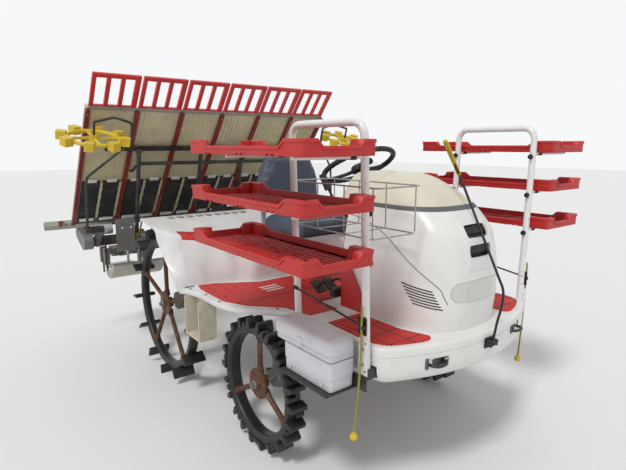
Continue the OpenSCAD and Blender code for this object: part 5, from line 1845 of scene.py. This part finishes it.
@dataclass
class FrontMarker:
    """The thin rod that stands on the front step and leans back over the bonnet, with its yellow grip."""

    pivot: Pair = (0.843, 0.65)
    knee: Pair = (0.877, 0.88)
    neck: Pair = (0.64, 1.326)
    end: Pair = (0.555, 1.471)

    def build(self) -> None:
        """Make the pivot, the bent rod and the grip."""
        (px, pz), (kx, kz), (nx, nz), (ex, ez) = self.pivot, self.knee, self.neck, self.end
        rod = Shape()
        rod.rod(at(px, -0.028, pz), at(px, 0.028, pz), 0.005, 16)
        rod.rod(at(px, -0.012, pz), at(px, 0.012, pz), 0.013, 24)
        line = [at(px, 0, pz), at(px + 0.014, 0, pz + 0.09), at(kx - 0.004, 0, kz - 0.06),
                at(kx - 0.003, 0, kz), at(kx - 0.03, 0, kz + 0.056), at((kx + nx) / 2, 0, (kz + nz) / 2),
                at(nx, 0, nz)]
        rod.sweep(smooth_line(line, 4), 0.0052, 12)
        rod.piece("front_marker_rod", TRIM_BLACK, "centre_marker", "black_steel", ["centre_marker"])
        grip = Shape()
        way = at(ex, 0, ez) - at(nx, 0, nz)
        stops = ((0.0, 0.006), (0.02, 0.0078), (0.3, 0.0078), (0.33, 0.0092), (0.62, 0.0098),
                 (0.93, 0.0104), (0.985, 0.0098), (1.0, 0.007))
        for (low, thin), (high, wide) in zip(stops, stops[1:]):
            grip.rod(at(nx, 0, nz) + way * low, at(nx, 0, nz) + way * high, thin, 20, wide)
        grip.piece("front_marker_grip", MARKER_YELLOW, "centre_marker", "yellow_plastic", smooth=35)


@dataclass
class Helm:
    """The steering wheel's grip, spokes and hub."""

    centre: tuple[float, float, float] = (0.02, 0.0, 1.345)
    lean: float = 28.0
    grip_r: float = 0.186
    grip_d: float = 0.027

    def place(self) -> Matrix:
        """Return the steering wheel's turn and place."""
        return Matrix.Translation(at(*self.centre)) @ Matrix.Rotation(math.radians(-self.lean), 4, "Y")

    def build(self) -> None:
        """Make every piece of the steering wheel."""
        grip = Shape()
        upright = Matrix.Translation((self.grip_r, 0, 0)) @ Matrix.Rotation(math.pi / 2, 4, "X")
        ring = bmesh.ops.create_circle(grip.bm, cap_ends=False, segments=16, radius=self.grip_d / 2,
                                       matrix=upright)
        edges = list(dict.fromkeys(e for v in ring["verts"] for e in v.link_edges))
        grip.spin(ring["verts"] + edges, 96)
        for vert in grip.bm.verts:
            turn = math.atan2(vert.co.y, vert.co.x)
            centre = Vector((math.cos(turn), math.sin(turn), 0)) * self.grip_r
            low = max(0.0, -vert.co.z) / (self.grip_d / 2)
            vert.co = centre + (vert.co - centre) * (1 - 0.1 * low * (0.5 + 0.5 * math.cos(turn * 36)))
        grip.move(self.place())
        grip.piece("steering_grip", TRIM_BLACK, "steering_wheel", "black_plastic", ["steering_wheel"], 60)
        spokes = Shape()
        for i in range(3):
            a = math.radians(120 * i + 90)
            way = Vector((math.cos(a), math.sin(a), 0))
            cross = Vector((-math.sin(a), math.cos(a), 0))
            stops = ((0.026, -0.018), (0.08, -0.017), (0.14, -0.01), (self.grip_r - 0.002, 0.0))
            spokes.sweep(smooth_line([way * r + Vector((0, 0, z)) for r, z in stops], 5), 0.0095, 12)
            start = way * 0.05 + Vector((0, 0, -0.017))
            spokes.sweep([start - cross * 0.012, start + cross * 0.012], 0.0065, 8)
        spokes.move(self.place())
        spokes.piece("steering_spokes", TRIM_BLACK, "steering_wheel", "black_plastic", smooth=50)
        hub = Shape()
        profile = [(0.0, 0.004), (0.02, 0.0038), (0.036, 0.001), (0.042, -0.006), (0.044, -0.016),
                   (0.042, -0.03), (0.03, -0.036), (0.014, -0.042), (0.009, -0.05), (0.009, -0.11),
                   (0.0, -0.11)]
        hub.turned([(r, 0, z) for r, z in profile], 40)
        hub.move(self.place())
        hub.piece("steering_hub", TRIM_BLACK, "steering_wheel", "black_plastic", smooth=45)


@dataclass
class TableFrame:
    """The seedling table's own slanted frame, and the small pieces that lie on it."""

    x: float = -1.34
    z: float = 1.67
    slope: float = 50.6
    shift: float = 0.06
    half: float = 0.9
    pitch: float = 0.3

    def spot(self, u: float, y: float, out: float) -> Vector:
        """Return a point from its distance down the slope, its side and its height off the seedling face.

        Args:
            u: Distance down the slope from the table's top edge.
            y: Distance to the left of the table's middle.
            out: Height over the face that looks at the driver.

        Returns:
            The point in the shared frame.
        """
        a = math.radians(self.slope)
        down = Vector((-math.cos(a), 0, -math.sin(a)))
        off = Vector((math.sin(a), 0, -math.cos(a)))
        return at(self.x, y - self.shift, self.z) + down * u + off * out

    def turn(self) -> Matrix:
        """Return the matrix from the table's slanted frame to the shared one."""
        o = self.spot(0, 0, 0)
        ux, uy, uz = self.spot(1, 0, 0) - o, self.spot(0, 1, 0) - o, self.spot(0, 0, 1) - o
        rows = [[ux[i], uy[i], uz[i], o[i]] for i in range(3)] + [[0, 0, 0, 1]]
        return Matrix(rows)


@dataclass
class Table:
    """Screws, wires, belts, rods and cross tubes of the seedling table."""

    frame: TableFrame = field(default_factory=TableFrame)
    rows: int = 6
    # Sides of a row's two belts from its divider
    belts: Pair = (0.082, 0.218)

    def slab(self, shape: Shape, low: Point, high: Point, round_by: float, steps: int) -> None:
        """Add a block that is given in the table's slanted frame."""
        shape.move(self.frame.turn(), shape.block(low, high, round_by, steps))

    def row_y(self, i: float) -> float:
        """Return the side of a divider or row from its number."""
        return -self.frame.half + i * self.frame.pitch

    def panel_trim(self) -> None:
        """Make the divider screws, the belts' caps and guides, and the strip along the top edge."""
        f = self.frame
        screws = Shape()
        for i in range(self.rows + 1):
            for u in (0.035, 0.275, 0.56, 0.8):
                screws.rod(f.spot(u, self.row_y(i), 0.0218), f.spot(u, self.row_y(i), 0.0245), 0.0055, 12)
        screws.piece("divider_screws", RAIL_STEEL, "seedling_table", "rail_steel")
        caps = Shape()
        for i in range(self.rows):
            for belt in self.belts:
                y = self.row_y(i) + belt
                self.slab(caps, (0.578, y - 0.034, 0.0042), (0.606, y + 0.034, 0.015), 0.003, 2)
                self.slab(caps, (0.955, y - 0.05, 0.0122), (0.984, y + 0.05, 0.02), 0.003, 2)
        caps.piece("belt_caps", PANEL_WHITE, "seedling_table", "cream_plastic")
        cream = Shape()
        for i in range(self.rows):
            for guide in (0.15, 0.278):
                y = self.row_y(i) + guide
                self.slab(cream, (0.604, y - 0.008, 0.001), (0.95, y + 0.008, 0.0165), 0.003, 2)
                for u in (0.66, 0.74, 0.82, 0.9):
                    self.slab(cream, (u, y - 0.011, 0.01), (u + 0.014, y + 0.011, 0.0195), 0.002, 1)
        cream.piece("belt_guides", TABLE_CREAM, "seedling_table", "cream_plastic")
        strip = Shape()
        for i in range(self.rows):
            y = self.row_y(i)
            self.slab(strip, (-0.016, y + 0.004, -0.0185), (0.01, y + f.pitch - 0.004, 0.0062), 0.002, 1)
        strip.piece("table_top_strip", TRIM_STRIP, "seedling_table", "grey_plastic")

    def seedling_side(self) -> None:
        """Make the belts and the press rods on the face that carries the seedlings."""
        f = self.frame
        belts = Shape()
        rods = Shape()
        press = ((0.5, -0.02), (0.54, -0.04), (0.6, -0.044), (0.93, -0.04), (0.965, -0.03))
        for i in range(self.rows):
            for belt in self.belts:
                y = self.row_y(i) + belt
                self.slab(belts, (0.64, y - 0.044, -0.0215), (0.962, y + 0.044, -0.0158), 0.003, 1)
                for rib in range(20):
                    u = 0.648 + 0.0158 * rib
                    self.slab(belts, (u, y - 0.042, -0.0245), (u + 0.005, y + 0.042, -0.021), 0.0, 1)
                for dy in (-0.028, 0.028):
                    rods.sweep(smooth_line([f.spot(u, y + dy, out) for u, out in press], 4), 0.0025, 6)
            ends = (self.row_y(i) + 0.012, self.row_y(i + 1) - 0.012)
            rods.sweep([f.spot(0.5, y, -0.0215) for y in ends], 0.004, 8)
        belts.piece("seedling_belts", BELT_BLACK, "seedling_table", "belt_rubber")
        rods.piece("press_rods", RAIL_STEEL, "seedling_table", "rail_steel")

    def bars(self) -> None:
        """Make the black cross tube and the wires in front of the table."""
        tubes = Shape()
        f = self.frame
        route = ((0.42, 0.62, 0.03), (0.4, 0.6, 0.075), (0.375, 0.56, 0.085), (0.375, 0.3, 0.085),
                 (0.375, -0.3, 0.085), (0.375, -0.52, 0.085), (0.4, -0.56, 0.08), (0.46, -0.57, 0.055),
                 (0.5, -0.57, 0.02))
        tubes.sweep(smooth_line([f.spot(*stop) for stop in route], 5), 0.01, 12)
        tubes.piece("table_cross_tube", FRAME_BLACK, "seedling_table", "black_steel")
        wires = Shape()
        bow = ((0.3, -0.075, 0.006), (0.27, -0.06, 0.02), (0.25, 0.0, 0.024), (0.27, 0.06, 0.02),
               (0.3, 0.075, 0.006))
        for y in (-0.36, 0.06, 0.48):
            wires.sweep(smooth_line([f.spot(u, y + dy, out) for u, dy, out in bow], 5), 0.0018, 6)
        wires.piece("table_wires", WIRE_GREY, "seedling_table", "rail_steel")

    def build(self) -> None:
        """Make every small piece of the table."""
        self.panel_trim()
        self.seedling_side()
        self.bars()


@dataclass
class PlantingTrim:
    """Gear case, bolts, levers, cables and plates of the planting unit."""

    beam_x: float = -1.64
    beam_z: float = 0.8
    rotor_x: float = -2.03
    rotor_z: float = 0.64
    rows: tuple[float, ...] = (-0.6, 0.0, 0.6)

    def cases(self) -> None:
        """Make the ribs and bolts of the planting cases and the feed gear case on the right."""
        bolts = Shape()
        ribs = Shape()
        for y in self.rows:
            for side in SIDES:
                face = y + side * 0.035
                for k in range(5):
                    share = 0.12 + 0.19 * k
                    x = self.beam_x - 0.02 + (self.rotor_x - self.beam_x + 0.02) * share
                    z = self.beam_z - 0.01 + (self.rotor_z - self.beam_z + 0.01) * share
                    for off in (-0.042 + 0.008 * share, 0.042 - 0.008 * share):
                        bolts.rod(at(x, face, z + off), at(x, face + side * 0.006, z + off), 0.006, 6)
                ribs.sweep([at(self.beam_x - 0.06, face + side * 0.0005, self.beam_z - 0.026),
                            at(self.rotor_x + 0.05, face + side * 0.0005, self.rotor_z + 0.02)], 0.006, 8)
                low, high = face - side * 0.002, face + side * 0.006
                ends = (at(self.rotor_x, y, self.rotor_z) for y in (low, high))
                ribs.rod(*ends, 0.04, 32, 0.036)
        bolts.piece("case_bolts", RAIL_STEEL, "planting_unit", "rail_steel")
        ribs.piece("case_ribs", CAST_GREY, "planting_unit", "cast_alloy", smooth=35)
        gear = Shape()
        gear.block(at(-1.755, -0.905, 0.835), at(-1.665, -0.775, 0.9), 0.02, 4)
        gear.rod(at(-1.7, -0.91, 0.868), at(-1.7, -0.77, 0.868), 0.036, 28)
        gear.rod(at(-1.7, -0.935, 0.868), at(-1.7, -0.905, 0.868), 0.022, 20)
        gear.rod(at(-1.645, -0.83, 0.868), at(-1.675, -0.83, 0.868), 0.02, 20)
        gear.piece("feed_gear_case", CASE_LIGHT, "planting_unit", "cast_alloy", smooth=40)

    def controls(self) -> None:
        """Make the bronze levers, the rusty rod and the cables over the beam."""
        levers = Shape()
        for y, lift in ((-0.62, 0.0), (-0.2, 0.02), (0.22, 0.01), (0.6, 0.015)):
            x = self.beam_x + 0.036
            levers.sweep(smooth_line([at(x, y, self.beam_z + 0.02),
                                      at(x + 0.035, y + 0.01, self.beam_z + 0.08),
                                      at(x + 0.03, y + 0.03, self.beam_z + 0.15 + lift)], 4), 0.006, 8)
            levers.rod(at(x - 0.008, y, self.beam_z + 0.02), at(x + 0.008, y, self.beam_z + 0.02), 0.016, 20)
        levers.piece("unit_levers", BRONZE, "planting_unit", "cast_alloy", smooth=45)
        rod = Shape()
        rod.sweep([at(-1.6, -0.845, 0.83), at(-1.596, -0.85, 0.62)], 0.006, 8)
        foot = [at(-1.596, -0.85, 0.63), at(-1.6, -0.845, 0.6), at(-1.64, -0.84, 0.585)]
        rod.sweep(smooth_line(foot, 4), 0.005, 8)
        rod.rod(at(-1.6, -0.845, 0.832), at(-1.642, -0.845, 0.832), 0.008, 12)
        rod.piece("depth_rod", RUSTY, "planting_unit", "cast_alloy", smooth=45)
        cables = Shape()
        for y0, y1, rise in ((-0.3, 0.1, 0.05), (-0.1, 0.34, 0.06), (0.18, 0.55, 0.045),
                             (-0.56, -0.16, 0.05)):
            stops = ((0.0, 0.0, 0.033), (0.25, 0.012, 0.09), (0.5, 0.016, 0.09 + rise), (0.75, 0.012, 0.09),
                     (1.0, 0.0, 0.033))
            route = [at(self.beam_x + 0.04 + out, y0 + (y1 - y0) * share, self.beam_z + up)
                     for share, out, up in stops]
            cables.sweep(smooth_line(route, 6), 0.0035, 8)
        cables.piece("unit_cables", TRIM_BLACK, "planting_unit", "black_steel", smooth=60)

    def build(self) -> None:
        """Make every small piece of the planting unit."""
        self.cases()
        self.controls()


@dataclass
class Underside:
    """Hoses, bolts and covers under the deck and at the wheels' axles."""

    def build(self) -> None:
        """Make every small piece under the machine."""
        hoses = Shape()
        for y, drop in ((-0.06, 0.0), (0.055, 0.012)):
            hoses.sweep(smooth_line([at(-0.36, y, 0.56), at(-0.42, y * 1.1, 0.575 + drop),
                                     at(-0.48, y * 1.3, 0.64), at(-0.505, y * 1.05, 0.7),
                                     at(-0.53, y * 0.75, 0.735)], 6), 0.008, 10)
        hoses.piece("lift_hoses", TRIM_BLACK, "chassis", "black_steel", smooth=60)
        bolts = Shape()
        for side in SIDES:
            for x in (-0.3, -0.2, -0.1):
                for z in (0.54, 0.43):
                    bolts.rod(at(x, side * 0.1447, z), at(x, side * 0.1537, z), 0.009, 6)
        for side in SIDES:
            for turn in range(6):
                a = math.radians(60 * turn)
                x, z = REAR_AXLE[0] + 0.047 * math.cos(a), REAR_AXLE[1] + 0.047 * math.sin(a)
                bolts.rod(at(x, side * 0.578, z), at(x, side * 0.584, z), 0.006, 6)
        bolts.piece("case_screws", RAIL_STEEL, "chassis", "rail_steel")
        ribs = Shape()
        for x in (-0.32, -0.24, -0.16, -0.08):
            for side in SIDES:
                y = side * 0.1425
                ribs.block(at(x - 0.004, y - 0.006, 0.415), at(x + 0.004, y + 0.006, 0.548), 0.003, 2)
        ribs.rod(at(-0.19, 0, 0.352), at(-0.19, 0, 0.362), 0.016, 6)
        ribs.piece("gearbox_ribs", CAST_GREY, "chassis", "cast_alloy")


@dataclass
class Studio:
    """Floor, light and the camera at the photograph's view."""

    height: float = 1.45
    ahead: float = 1.913
    aside: float = -1.759
    heading: float = 142.3
    pitch: float = 10.3
    focal: float = 28.47
    floor_size: float = 30.0

    def floor(self) -> None:
        """Lay a plain pale floor."""
        shape = Shape()
        bmesh.ops.create_grid(shape.bm, x_segments=1, y_segments=1, size=self.floor_size)
        made = shape.thing("floor")
        nodes = Nodes("floor_pale")
        nodes.shader.inputs["Base Color"].default_value = (0.8, 0.8, 0.8, 1)
        nodes.shader.inputs["Roughness"].default_value = 0.9
        made.data.materials.append(nodes.material)

    def light(self) -> None:
        """Set a soft surround and one large soft lamp."""
        world = bpy.data.worlds.new("surround")
        bpy.context.scene.world = world
        world.use_nodes = True
        tree = world.node_tree
        tree.nodes.clear()
        kinds = ("OutputWorld", "MixShader", "LightPath")
        out, mix, path = (tree.nodes.new("ShaderNode" + kind) for kind in kinds)
        either, both = (tree.nodes.new("ShaderNodeMath") for _ in range(2))
        either.operation = both.operation = "MAXIMUM"
        # What lights the machine, then what the camera and its reflections see
        surrounds = (((1.0, 1.0, 1.0, 1), 0.62), ((0.93, 0.94, 0.95, 1), 1.0))
        for number, (colour, strength) in enumerate(surrounds, 1):
            light = tree.nodes.new("ShaderNodeBackground")
            light.inputs["Color"].default_value = colour
            light.inputs["Strength"].default_value = strength
            tree.links.new(light.outputs[0], mix.inputs[number])
        for source, target in ((path.outputs["Is Camera Ray"], either.inputs[0]),
                               (path.outputs["Is Glossy Ray"], either.inputs[1]),
                               (either.outputs[0], both.inputs[0]),
                               (path.outputs["Is Transmission Ray"], both.inputs[1]),
                               (both.outputs[0], mix.inputs[0]), (mix.outputs[0], out.inputs[0])):
            tree.links.new(source, target)
        sun = bpy.data.lights.new("key", "SUN")
        sun.energy = 1.5
        sun.angle = math.radians(12)
        lamp = bpy.data.objects.new("key", sun)
        bpy.context.scene.collection.objects.link(lamp)
        aim = Vector((-0.25, 0.55, -0.9))
        lamp.rotation_euler = aim.to_track_quat("-Z", "Y").to_euler()

    def camera(self) -> None:
        """Set the camera where the photograph was taken from."""
        data = bpy.data.cameras.new("camera")
        data.lens = self.focal
        data.sensor_width = 36.0
        data.clip_start, data.clip_end = 0.05, 200.0
        made = bpy.data.objects.new("camera", data)
        bpy.context.scene.collection.objects.link(made)
        made.location = at(self.ahead, self.aside, self.height)
        turn, tip = math.radians(self.heading), math.radians(self.pitch)
        aim = Vector((math.cos(tip) * math.cos(turn), math.cos(tip) * math.sin(turn), -math.sin(tip)))
        made.rotation_euler = aim.to_track_quat("-Z", "Y").to_euler()
        bpy.context.scene.camera = made

    def build(self) -> None:
        """Set everything round the machine."""
        self.camera()
        self.floor()
        self.light()
        bpy.context.scene.view_settings.view_transform = "Standard"


WHEELS = [Wheel(f"front_wheel_{word}", side, FRONT_AXLE, 0.6, ring_r=0.262, ring_half=0.036, tip_r=0.325,
                lugs=22, lug_w=0.09, tip_half=0.011, spokes=3, between=True)
          for word, side in (("left", 1), ("right", -1))]
WHEELS += [Wheel(f"rear_wheel_{word}", side, REAR_AXLE, 0.64, ring_r=0.395, ring_half=0.026, tip_r=0.475,
                 lugs=13, lug_w=0.135, tip_half=0.007, spokes=5, between=False)
           for word, side in (("left", 1), ("right", -1))]


def dress_nodes() -> None:
    """Give each CAD node its finish."""
    for name, node in frame["nodes"].items():
        material = NODE_FINISH[name].material()
        node.data.materials.clear()
        node.data.materials.append(material)
        log.info("%s wears %s", name, material.name)


def main() -> None:
    """Build the studio and each sub-assembly in order."""
    logging.basicConfig(level=logging.INFO, format="%(message)s")
    Studio().build()
    dress_nodes()
    Bonnet().build()
    Cowl().build()
    Fender().build()
    Apron().build()
    Trays().build()
    for wheel in WHEELS:
        wheel.build()
    for assembly in (Seat(), ToolBox(), Racks(), SideMarkers(), FrontMarker(), Helm(), Table(),
                     PlantingTrim(), Underside()):
        assembly.build()
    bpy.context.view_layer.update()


if __name__ == "__main__":
    main()
